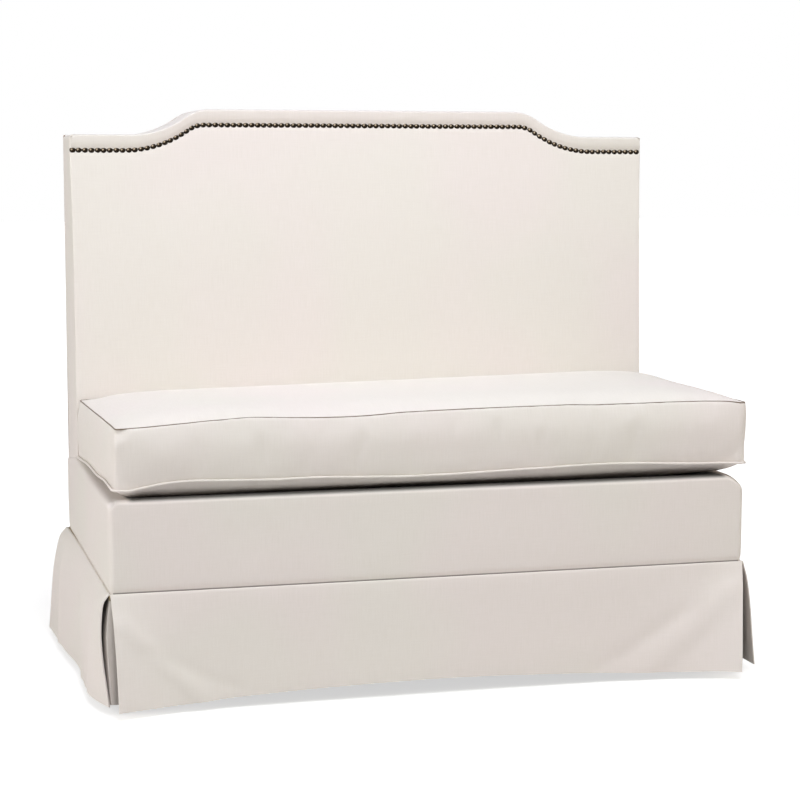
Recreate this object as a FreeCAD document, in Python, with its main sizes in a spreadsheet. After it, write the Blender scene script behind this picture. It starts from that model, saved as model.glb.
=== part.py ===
import FreeCAD, Part
import math
import operator
import os
import Sketcher

# Skirted banquette bench in millimetres: +X to the right, the front faces -Y, +Z up from the floor.
# The origin lies on the floor under the middle of the bench.

SIZES = {
    # whole bench
    "seat_width": 1220,
    "body_depth": 700,
    "back_depth": 168,
    "deck_height": 379,
    "crest_height": 1097,
    "crest_rise": 52,
    "crest_flat": 650,
    "crest_sweep": 165,
    "back_lean": 34.5,
    # layers over the frame
    "cloth": 1.5,
    "rail_pad": 8,
    "soft_gap": 0.3,
    "edge_round": 12,
    # wooden frame
    "rail_thick": 25,
    "foam_over_rails": 59,
    "leg_length": 152,
    "leg_width": 60,
    "leg_foot": 48,
    "block_side": 90,
    "block_thick": 25,
    "bolt_inset": 17,
    "stretcher_height": 70,
    "screw_radius": 2.5,
    "screw_length": 60,
    "screw_head_radius": 5,
    "screw_head_depth": 3,
    "screw_edge": 35,
    "hole_clearance": 0.1,
    # back frame
    "back_ply": 12,
    "back_foam": 30,
    "back_board": 4,
    "post_side": 45,
    "crest_board": 18,
    "crest_board_drop": 150,
    "crest_strip": 6,
    "rib_thick": 22,
    "back_rail_height": 640,
    # seat suspension and deck
    "spring_wire": 3.8,
    "spring_bend": 28,
    "spring_width": 52,
    "spring_spacing": 128,
    "clip_steel": 1.2,
    "clip_reach": 16,
    "clip_width": 20,
    "insulator": 4,
    # leg fittings
    "bolt_radius": 4,
    "bolt_in_leg": 48,
    "washer_radius": 9,
    "washer_thick": 1.6,
    "nut_flats": 13,
    "nut_thick": 6.5,
    "bolt_end": 5,
    "leveller_height": 18,
    "glide_radius": 16,
    "glide_thick": 5,
    "glide_hub_radius": 8,
    "glide_hub_height": 9,
    "glide_seat": 3,
    "stem_radius": 4,
    "stem_length": 40,
    "collar_radius": 7,
    "collar_thick": 3.5,
    "run_clearance": 0.05,
    "socket_flange_radius": 11,
    "socket_flange": 1.5,
    "socket_radius": 5.2,
    "socket_depth": 12,
    # nailhead trim
    "nail_radius": 5.75,
    "nail_dome": 2.4,
    "nail_pitch": 12.6,
    "nail_line": 31.5,
    "nail_shank": 0.9,
    "nail_shank_length": 15,
    "nail_end": 6,
    "nailing_strip": 25,
    "nailing_strip_depth": 10,
    # loose seat cushion
    "cushion_side_inset": 4,
    "cushion_shift": 5,
    "cushion_overhang": 2,
    "welt_over_deck": 32,
    "boxing_height": 112,
    "cushion_crown": 18,
    "cushion_draw": 6,
    "cushion_bow": 3,
    "cushion_corner": 14,
    "welt_radius": 2.75,
    "welt_gap": 0.2,
    "fibre_wrap": 12,
    "foam_chamfer": 10,
    # zip in the cushion's rear boxing
    "zip_length": 1000,
    "zip_tape_width": 26,
    "zip_tape": 0.8,
    "zip_neck": 1.6,
    "zip_neck_depth": 1.2,
    "zip_bead": 5,
    "zip_bead_depth": 2,
    "zip_play": 0.3,
    "slider_length": 14,
    "slider_wall": 1.7,
    "slider_lug_radius": 1.6,
    "pull_pin_radius": 0.7,
    "pull_thick": 1.2,
    "pull_width": 5,
    "pull_length": 28,
    "pull_play": 0.1,
    # skirt
    "skirt_seam": 221,
    "skirt_hem": 14,
    "skirt_cloth": 2.2,
    "tack_strip": 3,
    "tack_strip_height": 10,
    "skirt_front_flare": 60,
    "skirt_side_flare": 46,
    "skirt_corner_gap": 4,
    "pleat_width": 55,
    "pleat_flare": 6,
    "dust_cloth": 1,
}

# How the crest's sweep is divided between its hollow and its round arc.
HOLLOW_SHARE = 0.68
# Heights and insets of the cushion's crown and belly, as shares of their rise and of its half depth.
CROWN_SHARES = ((0, 0), (0.5, 0.05), (0.82, 0.17), (1, 0.4))
BELLY_SHARES = ((0, 0), (0.6, 0.05), (0.87, 0.15), (1, 0.32))
# How far the skirt has swung out at each share of its drop.
DROP_SHARES = ((0, 0), (0.2, 0.55), (0.45, 0.82), (1, 1))
# Folds along each skirt panel: place as a share of its half length, flare as a share of its largest.
FRONT_FOLD_SHARES = ((-1, 0.67), (-0.8, 0.22), (-0.6, 0.06), (0, 0.03), (0.6, 0.12), (0.8, 0.4), (1, 1))
LEFT_FOLD_SHARES = ((-1, 0.25), (-0.8, 0.62), (-0.6, 0.75), (-0.2, 0.62), (0.2, 0.58), (0.6, 0.72), (1, 1))
RIGHT_FOLD_SHARES = ((-1, 0.72), (-0.8, 0.7), (-0.6, 0.74), (-0.2, 0.62), (0.2, 0.58), (0.6, 0.72), (1, 1))
# How near two places count as one, as a share of the fillet beside them.
NEAR_SHARE = 0.01
# The least flare of a skirt's section, as a share of its largest, so that a loft has no flat start.
LEAST_FLARE_SHARE = 0.001
# Corners of a nail's facets, and its dome's rings: radius and height as shares of the whole.
NAIL_SIDES = 10
NAIL_DOME_SHARES = ((1, 0), (0.78, 0.52), (0.36, 1))
# Bevel of a glide's edge as a share of its thickness, a nail's tip as a share of its shank, and the
# cushion's least corner as a share of its widest.
GLIDE_BEVEL_SHARE = 0.25
NAIL_TIP_SHARE = 0.25
LEAST_CORNER_SHARE = 0.25

doc = FreeCAD.newDocument("Banquette")
sheet = doc.addObject("Spreadsheet::Sheet", "Sizes")
for row, (size_name, size_value) in enumerate(SIZES.items(), 1):
    sheet.set("A%d" % row, size_name)
    sheet.set("B%d" % row, str(size_value))
    sheet.setAlias("B%d" % row, size_name)
doc.recompute()

Vector = FreeCAD.Vector
NODES = []


class Size:
    """A length with the formula that gives it, so that the document can be bound to the same formula."""

    def __init__(self, text, value):
        self.text = text
        self.value = value

    def joined(self, sign, other, flip=False):
        first, second = self, as_size(other)
        if flip:
            first, second = second, first
        worked_out = {"+": operator.add, "-": operator.sub, "*": operator.mul, "/": operator.truediv}[sign]
        return Size("(%s %s %s)" % (first.text, sign, second.text), worked_out(first.value, second.value))

    def __add__(self, other):
        return self.joined("+", other)

    def __radd__(self, other):
        return self.joined("+", other, True)

    def __sub__(self, other):
        return self.joined("-", other)

    def __rsub__(self, other):
        return self.joined("-", other, True)

    def __mul__(self, other):
        return self.joined("*", other)

    def __rmul__(self, other):
        return self.joined("*", other, True)

    def __truediv__(self, other):
        return self.joined("/", other)

    def __neg__(self):
        return self.joined("*", -1)


class SheetSizes:
    """Gives each size of the sheet by its name."""

    def __getattr__(self, name):
        return Size("Sizes." + name, float(sheet.get(name)))


def as_size(number):
    return number if isinstance(number, Size) else Size(repr(float(number)), float(number))


def value(number):
    return as_size(number).value


def vector(x, y, z=0):
    return Vector(value(x), value(y), value(z))


def bind(thing, path, length):
    thing.setExpression(path, as_size(length).text)


def place(thing, corner):
    for axis, length in zip("xyz", corner):
        bind(thing, ".Placement.Base." + axis, length)
    return thing


def node(thing, label):
    """Names a finished sub-part, which is written to a file of that name."""
    thing.Label = label
    NODES.append(thing)
    return thing


def block(name, corner, sides):
    box = doc.addObject("Part::Box", name)
    for side, length in zip(("Length", "Width", "Height"), sides):
        bind(box, side, length)
    return place(box, corner)


def rod(name, base, radius, length, along="z"):
    """A round rod from its base's centre along +X, +Y or +Z."""
    cylinder = doc.addObject("Part::Cylinder", name)
    bind(cylinder, "Radius", radius)
    bind(cylinder, "Height", length)
    turns = {"x": (Vector(0, 1, 0), 90), "y": (Vector(1, 0, 0), -90), "z": (Vector(0, 0, 1), 0)}
    cylinder.Placement = FreeCAD.Placement(Vector(), FreeCAD.Rotation(*turns[along]))
    return place(cylinder, base)


def group(name, things):
    compound = doc.addObject("Part::Compound", name)
    compound.Links = things
    return compound


def cut(name, base, tool):
    made = doc.addObject("Part::Cut", name)
    made.Base = base
    made.Tool = tool
    return made


def common(name, base, tool):
    made = doc.addObject("Part::Common", name)
    made.Base = base
    made.Tool = tool
    return made


def feature(name, shape, turn=0):
    """A sub-part from its shape, turned about the bench's upright axis."""
    made = doc.addObject("Part::Feature", name)
    made.Shape = shape
    made.Placement = FreeCAD.Placement(Vector(), FreeCAD.Rotation(Vector(0, 0, 1), turn))
    return made


def add_side(sketch, start, end, radius):
    """Adds a straight side, or a round one (radius below zero turns clockwise); tells its two ends apart."""
    first, last = vector(*start), vector(*end)
    if radius is None:
        sketch.addGeometry(Part.LineSegment(first, last), False)
        return 1, 2
    turn = math.copysign(1, value(radius))
    chord = last - first
    reach = math.sqrt(value(radius) ** 2 - chord.Length ** 2 / 4)
    sideways = Vector(-chord.y, chord.x, 0).normalize() * turn * reach
    centre = (first + last) / 2 + sideways
    angles = [math.atan2(end_point.y - centre.y, end_point.x - centre.x) for end_point in (first, last)]
    if turn < 0:
        angles.reverse()
    circle = Part.Circle(centre, Vector(0, 0, 1), abs(value(radius)))
    sketch.addGeometry(Part.ArcOfCircle(circle, *angles), False)
    return (1, 2) if turn > 0 else (2, 1)


def sketched_body(name, plane, points, length, corner, radii=None, holes=()):
    """A closed outline on one of the body's own planes, padded; its points and radii follow the sheet."""
    body = doc.addObject("PartDesign::Body", name)
    sketch = body.newObject("Sketcher::SketchObject", name + "_outline")
    base = [item for item in body.Origin.OriginFeatures if item.Role == plane + "_Plane"][0]
    sketch.AttachmentSupport = [(base, "")]
    sketch.MapMode = "FlatFace"
    radii = radii or [None] * len(points)
    count = len(points)
    ends = [add_side(sketch, points[i], points[(i + 1) % count], radii[i]) for i in range(count)]
    for i in range(count):
        following = (i + 1) % count
        sketch.addConstraint(Sketcher.Constraint("Coincident", i, ends[i][1], following, ends[following][0]))
    for i, point in enumerate(points):
        for kind, length_along in zip(("DistanceX", "DistanceY"), point):
            rule = Sketcher.Constraint(kind, -1, 1, i, ends[i][0], value(length_along))
            bind(sketch, "Constraints[%d]" % sketch.addConstraint(rule), length_along)
        if radii[i] is not None:
            around = radii[i] if value(radii[i]) > 0 else -radii[i]
            number = sketch.addConstraint(Sketcher.Constraint("Radius", i, value(around)))
            bind(sketch, "Constraints[%d]" % number, around)
    for x, y, radius in holes:
        circle = sketch.addGeometry(Part.Circle(vector(x, y), Vector(0, 0, 1), value(radius)), False)
        for kind, length_along in (("DistanceX", x), ("DistanceY", y)):
            rule = Sketcher.Constraint(kind, -1, 1, circle, 3, value(length_along))
            bind(sketch, "Constraints[%d]" % sketch.addConstraint(rule), length_along)
        number = sketch.addConstraint(Sketcher.Constraint("Radius", circle, value(radius)))
        bind(sketch, "Constraints[%d]" % number, radius)
    pad = body.newObject("PartDesign::Pad", name + "_pad")
    pad.Profile = sketch
    bind(pad, "Length", length)
    sketch.Visibility = False
    return place(body, corner)


def turned_body(name, points, foot):
    """A profile of (radius, height) points turned once about the upright axis through its foot."""
    body = doc.addObject("PartDesign::Body", name)
    sketch = body.newObject("Sketcher::SketchObject", name + "_profile")
    base = [item for item in body.Origin.OriginFeatures if item.Role == "XZ_Plane"][0]
    sketch.AttachmentSupport = [(base, "")]
    sketch.MapMode = "FlatFace"
    count = len(points)
    for i in range(count):
        sketch.addGeometry(Part.LineSegment(vector(*points[i]), vector(*points[(i + 1) % count])), False)
    for i in range(count):
        sketch.addConstraint(Sketcher.Constraint("Coincident", i, 2, (i + 1) % count, 1))
    for i, point in enumerate(points):
        for kind, length_along in zip(("DistanceX", "DistanceY"), point):
            number = sketch.addConstraint(Sketcher.Constraint(kind, -1, 1, i, 1, value(length_along)))
            bind(sketch, "Constraints[%d]" % number, length_along)
    turning = body.newObject("PartDesign::Revolution", name + "_turning")
    turning.Profile = sketch
    turning.ReferenceAxis = (sketch, ["V_Axis"])
    turning.Angle = 360
    return place(body, foot)


S = SheetSizes()
half_width = S.seat_width / 2
half_depth = S.body_depth / 2
wood_inset = S.cloth + S.rail_pad
wood_half = half_width - wood_inset
wood_front = wood_inset - half_depth
wood_rear = half_depth - S.cloth - S.back_board
panel_inner = wood_half - S.rail_thick
rail_bottom = S.leveller_height + S.leg_length
rail_top = S.deck_height - S.foam_over_rails
rail_height = rail_top - rail_bottom
front_rail_rear = wood_front + S.rail_thick
shoulder_height = S.crest_height - S.crest_rise
lean_slope = S.back_lean / (S.crest_height - S.deck_height)
foam_rear = S.cloth + S.back_foam
board_rear = foam_rear + S.back_ply
clip_height = S.clip_steel * 2 + S.spring_wire
spring_floor = rail_top + S.clip_steel
hollow_top = spring_floor + S.spring_wire + S.insulator


def back_face(height, behind=0):
    """How far back the leaning front face of the back is at a height, or a layer that far behind it."""
    return half_depth - S.back_depth + lean_slope * (height - S.deck_height) + behind


deck_rear = back_face(rail_top, foam_rear)
spring_rail_front = deck_rear - S.rail_thick
strip_inset = wood_inset + S.crest_strip

# The contour of the back: level shoulders, a hollow arc, a round arc, and a level crest.
sweep_rise = S.crest_rise
sweep_radius = (S.crest_sweep * S.crest_sweep + sweep_rise * sweep_rise) / (2 * sweep_rise)
sweep_sine = S.crest_sweep / sweep_radius
sweep_cosine = 1 - sweep_rise / sweep_radius


def contour(inset, end):
    """Points and radii along the top from right to left, a distance inside the outline."""
    crest_end = S.crest_flat / 2
    sweep_end = crest_end + S.crest_sweep
    level = shoulder_height - inset
    middle_x = sweep_end - HOLLOW_SHARE * S.crest_sweep - inset * sweep_sine
    middle_z = shoulder_height + HOLLOW_SHARE * sweep_rise - inset * sweep_cosine
    hollow = HOLLOW_SHARE * sweep_radius + inset
    rounded = (1 - HOLLOW_SHARE) * sweep_radius - inset
    right = [(end, level), (sweep_end, level), (middle_x, middle_z), (crest_end, S.crest_height - inset)]
    left = [(-x, z) for x, z in reversed(right)]
    return right + left, [None, -hollow, rounded, None, rounded, -hollow, None]


def contour_outline(inset, low):
    """The whole closed outline of the back down to a level."""
    end = half_width - inset
    points, radii = contour(inset, end)
    return [(-end, low), (end, low)] + points, [None, None] + radii + [None]


def band_outline(outer, inner, end, legs=None):
    """A band that follows the top between two insets, with legs down both sides if a level is given."""
    upper, upper_radii = contour(outer, end)
    lower, lower_radii = contour(inner, end if legs is None else end - (inner - outer))
    backwards = [None if radius is None else -radius for radius in reversed(lower_radii)]
    lower = list(reversed(lower))
    if legs is None:
        return upper + lower, upper_radii + [None] + backwards + [None]
    left_leg = [(-end, legs), (inner - outer - end, legs)]
    right_leg = [(end - (inner - outer), legs), (end, legs)]
    points = upper + left_leg + lower + right_leg
    return points, upper_radii + [None] * 3 + backwards + [None] * 3


def contour_body(name, outline, front, rear):
    """A contour outline as thick as the room from a front to a rear plane."""
    points, radii = outline
    return sketched_body(name, "XZ", points, rear - front, (0, rear, 0), radii)


def leaning_body(name, front, rear, low, high):
    """A full-width body whose front leans with the back; its rear leans too, or is upright if a pair."""
    rear_low, rear_high = rear if isinstance(rear, tuple) else (back_face(low, rear), back_face(high, rear))
    points = [(back_face(low, front), low), (rear_low, low), (rear_high, high),
              (back_face(high, front), high)]
    return sketched_body(name, "YZ", points, S.seat_width, (-half_width, 0, 0))


# Frame: plywood side panels and solid rails, screwed together.
screw_low = rail_bottom + S.screw_edge
screw_high = rail_top - S.screw_edge
panel_top = shoulder_height - strip_inset
spring_rail_middle = spring_rail_front + (S.rail_thick + S.back_ply) / 2
rear_rail_middle = wood_rear - S.rail_thick / 2
front_screw_x = wood_half - S.rail_thick / 2
screw_heights = (screw_low, screw_high)


def countersunk(name, side, y, height, clearance=0):
    """A screw through a side panel into a rail end, or the hole that it needs; side is -1 or 1."""
    tip = panel_inner - (S.screw_length - S.rail_thick) - clearance
    length = wood_half - tip
    start = tip if side > 0 else -wood_half
    head_start = wood_half - S.screw_head_depth - clearance if side > 0 else -wood_half
    shank = rod(name + "_shank", (start, y, height), S.screw_radius + clearance, length, "x")
    head = rod(name + "_head", (head_start, y, height), S.screw_head_radius + clearance,
               S.screw_head_depth + clearance, "x")
    joined = doc.addObject("Part::Fuse", name)
    joined.Base = shank
    joined.Tool = head
    return joined


def front_screw(name, side, height, clearance=0):
    """A screw through the front rail into a side panel's front edge, or the hole that it needs."""
    x = side * front_screw_x
    shank = rod(name + "_shank", (x, wood_front, height), S.screw_radius + clearance,
                S.screw_length + clearance, "y")
    head = rod(name + "_head", (x, wood_front, height), S.screw_head_radius + clearance,
               S.screw_head_depth + clearance, "y")
    joined = doc.addObject("Part::Fuse", name)
    joined.Base = shank
    joined.Tool = head
    return joined


def frame_screw_set(name, clearance):
    screws = []
    for side, side_name in ((-1, "left"), (1, "right")):
        for level, height in enumerate(screw_heights):
            for place_name, y in (("spring", spring_rail_middle), ("rear", rear_rail_middle)):
                label = "%s_%s_%s_%d" % (name, side_name, place_name, level)
                screws.append(countersunk(label, side, y, height, clearance))
            screws.append(front_screw("%s_%s_front_%d" % (name, side_name, level), side, height, clearance))
    return screws


screw_holes = group("screw_holes", frame_screw_set("screw_hole", S.hole_clearance))
node(group("frame_screws", frame_screw_set("frame_screw", 0)), "frame_screws")

front_rail_plank = block("front_rail_plank", (-wood_half, wood_front, rail_bottom),
                         (2 * wood_half, S.rail_thick, rail_height))
node(cut("front_rail", front_rail_plank, screw_holes), "front_rail")

rear_rail_plank = block("rear_rail_plank", (-panel_inner, wood_rear - S.rail_thick, rail_bottom),
                        (2 * panel_inner, S.rail_thick, rail_height))
node(cut("rear_rail", rear_rail_plank, screw_holes), "rear_rail")

spring_rail_plank = block("spring_rail_plank", (-panel_inner, spring_rail_front, rail_bottom),
                          (2 * panel_inner, S.rail_thick + S.back_ply, rail_height))
node(cut("spring_rail", spring_rail_plank, screw_holes), "spring_rail")

panel_points = [(front_rail_rear, rail_bottom), (wood_rear, rail_bottom), (wood_rear, panel_top),
                (back_face(panel_top, board_rear), panel_top), (back_face(rail_top, board_rear), rail_top),
                (front_rail_rear, rail_top)]
for side_name, panel_start in (("left", -wood_half), ("right", panel_inner)):
    panel = sketched_body(side_name + "_panel_sheet", "YZ", panel_points, S.rail_thick, (panel_start, 0, 0))
    node(cut(side_name + "_side_panel", panel, screw_holes), side_name + "_side_panel")

stretcher = block("centre_stretcher", (-S.rail_thick / 2, front_rail_rear, rail_bottom),
                  (S.rail_thick, spring_rail_front - front_rail_rear, S.stretcher_height))
rear_stretcher_start = spring_rail_front + S.rail_thick + S.back_ply
rear_stretcher = block("rear_stretcher", (-S.rail_thick / 2, rear_stretcher_start, rail_bottom),
                       (S.rail_thick, wood_rear - S.rail_thick - rear_stretcher_start, S.stretcher_height))
node(group("seat_stretchers", [stretcher, rear_stretcher]), "seat_stretchers")

# Corner blocks, legs and their bolts. A corner is (x side, y side, rail's inner face there, name).
rear_rail_front = wood_rear - S.rail_thick
corners = [(-1, -1, front_rail_rear, "front_left"), (1, -1, front_rail_rear, "front_right"),
           (-1, 1, rear_rail_front, "rear_left"), (1, 1, rear_rail_front, "rear_right")]
corner_blocks = []
bolts, washers, nuts, sockets = [], [], [], []
bolt_hole = S.bolt_radius + S.hole_clearance
block_top = rail_bottom + S.block_thick
nut_radius = S.nut_flats / math.sqrt(3)
leg_taper = (S.leg_width - S.leg_foot) / 2
glide_bevel = S.glide_thick * GLIDE_BEVEL_SHARE
for x_side, y_side, rail_face, corner_name in corners:
    corner_x = x_side * panel_inner
    bolt_x = corner_x - x_side * S.bolt_inset
    bolt_y = rail_face - y_side * S.bolt_inset
    points = [(corner_x, rail_face), (corner_x - x_side * S.block_side, rail_face),
              (corner_x, rail_face - y_side * S.block_side)]
    hole = (bolt_x, bolt_y, bolt_hole)
    corner_blocks.append(sketched_body("corner_block_" + corner_name, "XY", points, S.block_thick,
                                       (0, 0, rail_bottom), holes=(hole,)))
    bolt_foot = rail_bottom - S.bolt_in_leg
    bolt_top = block_top + S.washer_thick + S.nut_thick + S.bolt_end
    bolts.append(rod("leg_bolt_" + corner_name, (bolt_x, bolt_y, bolt_foot), S.bolt_radius,
                     bolt_top - bolt_foot))
    on_block = (bolt_x, bolt_y, block_top)
    washers.append(cut("washer_" + corner_name,
                       rod("washer_disc_" + corner_name, on_block, S.washer_radius, S.washer_thick),
                       rod("washer_hole_" + corner_name, on_block, bolt_hole, S.washer_thick)))
    nut = doc.addObject("Part::Prism", "nut_hexagon_" + corner_name)
    nut.Polygon = 6
    bind(nut, "Circumradius", nut_radius)
    bind(nut, "Height", S.nut_thick)
    place(nut, (bolt_x, bolt_y, block_top + S.washer_thick))
    nuts.append(cut("nut_" + corner_name, nut,
                    rod("nut_hole_" + corner_name, (bolt_x, bolt_y, block_top + S.washer_thick), bolt_hole,
                        S.nut_thick)))

    leg_x = x_side * (wood_half - S.leg_width / 2)
    leg_y = (wood_front if y_side < 0 else wood_rear) - y_side * S.leg_width / 2
    leg_name = "leg_" + corner_name
    leg_sides = []
    for level, size in ((S.leveller_height, S.leg_foot), (rail_bottom, S.leg_width)):
        sheet_face = doc.addObject("Part::Plane", "%s_section_%d" % (leg_name, len(leg_sides)))
        bind(sheet_face, "Length", size)
        bind(sheet_face, "Width", size)
        leg_sides.append(place(sheet_face, (leg_x - size / 2, leg_y - size / 2, level)))
    leg_wood = doc.addObject("Part::Loft", leg_name + "_wood")
    leg_wood.Sections = leg_sides
    leg_wood.Solid = True
    leg_wood.Ruled = True
    holes = group(leg_name + "_holes", [
        rod(leg_name + "_bolt_hole", (bolt_x, bolt_y, bolt_foot - S.hole_clearance), bolt_hole,
            S.bolt_in_leg + S.hole_clearance),
        rod(leg_name + "_stem_hole", (leg_x, leg_y, S.leveller_height), S.socket_radius + S.hole_clearance,
            S.stem_length)])
    node(cut(leg_name, leg_wood, holes), leg_name)

    # Levelling glide: a threaded socket in the leg, a stem that turns in it, and a pad on the floor.
    bore = S.stem_radius + S.run_clearance
    sockets.append(turned_body("socket_" + corner_name, [
        (bore, -S.socket_flange), (S.socket_flange_radius, -S.socket_flange), (S.socket_flange_radius, 0),
        (S.socket_radius, 0), (S.socket_radius, S.socket_depth), (bore, S.socket_depth)],
        (leg_x, leg_y, S.leveller_height)))
    pad_hole = S.stem_radius + S.run_clearance
    node(turned_body("glide_pad_" + corner_name, [
        (0, 0), (S.glide_radius - glide_bevel, 0), (S.glide_radius, glide_bevel),
        (S.glide_radius, S.glide_thick - glide_bevel), (S.glide_radius - glide_bevel, S.glide_thick),
        (S.glide_hub_radius, S.glide_thick), (S.glide_hub_radius, S.glide_hub_height),
        (pad_hole, S.glide_hub_height), (pad_hole, S.glide_seat - S.run_clearance),
        (0, S.glide_seat - S.run_clearance)],
        (leg_x, leg_y, 0)), "glide_pad_" + corner_name)
    collar_low = S.glide_hub_height + S.run_clearance
    node(turned_body("glide_stem_" + corner_name, [
        (0, S.glide_seat), (S.stem_radius, S.glide_seat), (S.stem_radius, collar_low),
        (S.collar_radius, collar_low), (S.collar_radius, collar_low + S.collar_thick),
        (S.stem_radius, collar_low + S.collar_thick), (S.stem_radius, S.glide_seat + S.stem_length),
        (0, S.glide_seat + S.stem_length)],
        (leg_x, leg_y, 0)), "glide_stem_" + corner_name)

node(group("corner_blocks", corner_blocks), "corner_blocks")
node(group("leg_bolts", bolts), "leg_bolts")
node(group("leg_bolt_nuts", washers + nuts), "leg_bolt_nuts")
node(group("glide_sockets", sockets), "glide_sockets")

# Frame of the back: posts on the rear rail, a cross rail, contoured boards, ribs and a bent top strip.
post_front = wood_rear - S.post_side
crest_board_low = shoulder_height - S.crest_board_drop
posts = [("left_back_post", -panel_inner), ("centre_back_post", -S.post_side / 2),
         ("right_back_post", panel_inner - S.post_side)]
post_blocks = [block(post_name, (post_x, post_front, rail_top),
                     (S.post_side, S.post_side, crest_board_low - rail_top)) for post_name, post_x in posts]
node(group("back_posts", post_blocks), "back_posts")

back_rail_top = S.back_rail_height + S.post_side
back_rail_front = back_face(back_rail_top, board_rear)
node(block("back_cross_rail", (-panel_inner, back_rail_front, S.back_rail_height),
           (2 * panel_inner, post_front - back_rail_front, S.post_side)), "back_cross_rail")

crest_outline = contour_body("crest_outline", contour_outline(strip_inset, crest_board_low),
                             wood_rear - S.crest_board, wood_rear)
crest_room = block("crest_room", (-panel_inner, wood_rear - S.crest_board, crest_board_low),
                   (2 * panel_inner, S.crest_board, S.crest_height - crest_board_low))
node(common("rear_crest_board", crest_outline, crest_room), "rear_crest_board")

rib_outline = contour_body("rib_outline", contour_outline(strip_inset, crest_board_low),
                           back_face(crest_board_low), wood_rear - S.crest_board)
rib_sheets = []
rib_places = (-(S.crest_flat - S.rib_thick) / 2, -S.rib_thick / 2, (S.crest_flat - 3 * S.rib_thick) / 2)
for number, rib_x in enumerate(rib_places):
    rib_points = [(back_face(crest_board_low, board_rear), crest_board_low),
                  (wood_rear - S.crest_board, crest_board_low), (wood_rear - S.crest_board, S.crest_height),
                  (back_face(S.crest_height, board_rear), S.crest_height)]
    rib_sheets.append(sketched_body("rib_sheet_%d" % number, "YZ", rib_points, S.rib_thick, (rib_x, 0, 0)))
node(common("crest_ribs", group("rib_sheets", rib_sheets), rib_outline), "crest_ribs")

board_sheet = contour_body("board_sheet", contour_outline(wood_inset, rail_top), back_face(rail_top),
                           wood_rear)
board_lean = leaning_body("board_lean", foam_rear, board_rear, rail_top, S.crest_height)
node(common("inside_back_board", board_sheet, board_lean), "inside_back_board")

strip_band = contour_body("strip_band", band_outline(wood_inset, strip_inset, wood_half),
                          back_face(rail_top), wood_rear)
strip_lean = leaning_body("strip_lean", board_rear, (wood_rear, wood_rear), crest_board_low, S.crest_height)
node(common("crest_top_strip", strip_band, strip_lean), "crest_top_strip")

nail_band = contour_body("nail_band", band_outline(S.nail_line - S.nailing_strip / 2,
                                                   S.nail_line + S.nailing_strip / 2, wood_half),
                         back_face(rail_top), wood_rear)
nail_lean = leaning_body("nail_lean", S.nailing_strip_depth, foam_rear, crest_board_low, S.crest_height)
node(common("nailing_strip", nail_band, nail_lean), "nailing_strip")

outside_board = contour_body("outside_back_board", contour_outline(S.cloth, rail_bottom), wood_rear,
                             wood_rear + S.back_board)
node(outside_board, "outside_back_board")
outside_cloth = contour_body("outside_back_cover", contour_outline(0, rail_bottom),
                             half_depth - S.cloth, half_depth)
node(outside_cloth, "outside_back_cover")

# Padding over the frame's edges.
edge_band = contour_body("edge_band", band_outline(S.cloth, wood_inset, half_width - S.cloth, S.deck_height),
                         back_face(rail_top), wood_rear)
edge_lean = leaning_body("edge_lean", foam_rear, (wood_rear, wood_rear), S.deck_height, S.crest_height)
node(common("back_edge_padding", edge_band, edge_lean), "back_edge_padding")

rail_pads = [block("front_rail_padding", (S.cloth - half_width, S.cloth - half_depth, rail_bottom),
                   (S.seat_width - 2 * S.cloth, S.rail_pad, rail_height))]
side_pad_points = [(wood_front, rail_bottom), (wood_rear, rail_bottom), (wood_rear, S.deck_height),
                   (deck_rear, S.deck_height), (deck_rear, rail_top), (wood_front, rail_top)]
for side_name, pad_x in (("left", S.cloth - half_width), ("right", wood_half)):
    rail_pads.append(sketched_body(side_name + "_side_padding", "YZ", side_pad_points, S.rail_pad,
                                   (pad_x, 0, 0)))
node(group("rail_padding", rail_pads), "rail_padding")

leg_cuts = []
for x_side, y_side, rail_face, corner_name in corners:
    leg_cuts.append(block("dust_cut_" + corner_name, (
        -wood_half if x_side < 0 else wood_half - S.leg_width,
        wood_front if y_side < 0 else wood_rear - S.leg_width, rail_bottom - S.dust_cloth),
        (S.leg_width, S.leg_width, S.dust_cloth)))
dust_sheet = block("dust_sheet", (-wood_half, wood_front, rail_bottom - S.dust_cloth),
                   (2 * wood_half, wood_rear - wood_front, S.dust_cloth))
node(cut("dust_cover", dust_sheet, group("dust_cuts", leg_cuts)), "dust_cover")

# Seat suspension: zigzag springs held in clips on the front rail and the spring rail.
spring_count = int(value(2 * panel_inner - S.spring_width) // value(S.spring_spacing)) + 1
spring_front = value(front_rail_rear - S.clip_reach + S.spring_wire)
spring_back = value(spring_rail_front + S.clip_reach - S.spring_wire)
bend_count = round((spring_back - spring_front) / value(S.spring_bend))
bend_pitch = (spring_back - spring_front) / bend_count


def spring(x):
    """One sinuous spring: cross wires joined by half turns, at one height."""
    level = value(spring_floor + S.spring_wire / 2)
    turn = bend_pitch / 2
    half = value(S.spring_width) / 2 - turn
    edges = []
    for number in range(bend_count + 1):
        y = spring_front + number * bend_pitch
        way = 1 if number % 2 == 0 else -1
        start, end = Vector(x - way * half, y, level), Vector(x + way * half, y, level)
        edges.append(Part.LineSegment(start, end).toShape())
        if number < bend_count:
            bulge = Vector(x + way * (half + turn), y + turn, level)
            edges.append(Part.Arc(end, bulge, Vector(x + way * half, y + bend_pitch, level)).toShape())
    path = Part.Wire(edges)
    ring = Part.Wire(Part.makeCircle(value(S.spring_wire) / 2, path.Vertexes[0].Point, Vector(1, 0, 0)))
    return path.makePipeShell([ring], True, False)


spring_offset = (spring_count - 1) / 2
spring_places = [(number - spring_offset) * value(S.spring_spacing) for number in range(spring_count)]
node(feature("seat_springs", Part.makeCompound([spring(x) for x in spring_places])), "seat_springs")

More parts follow.
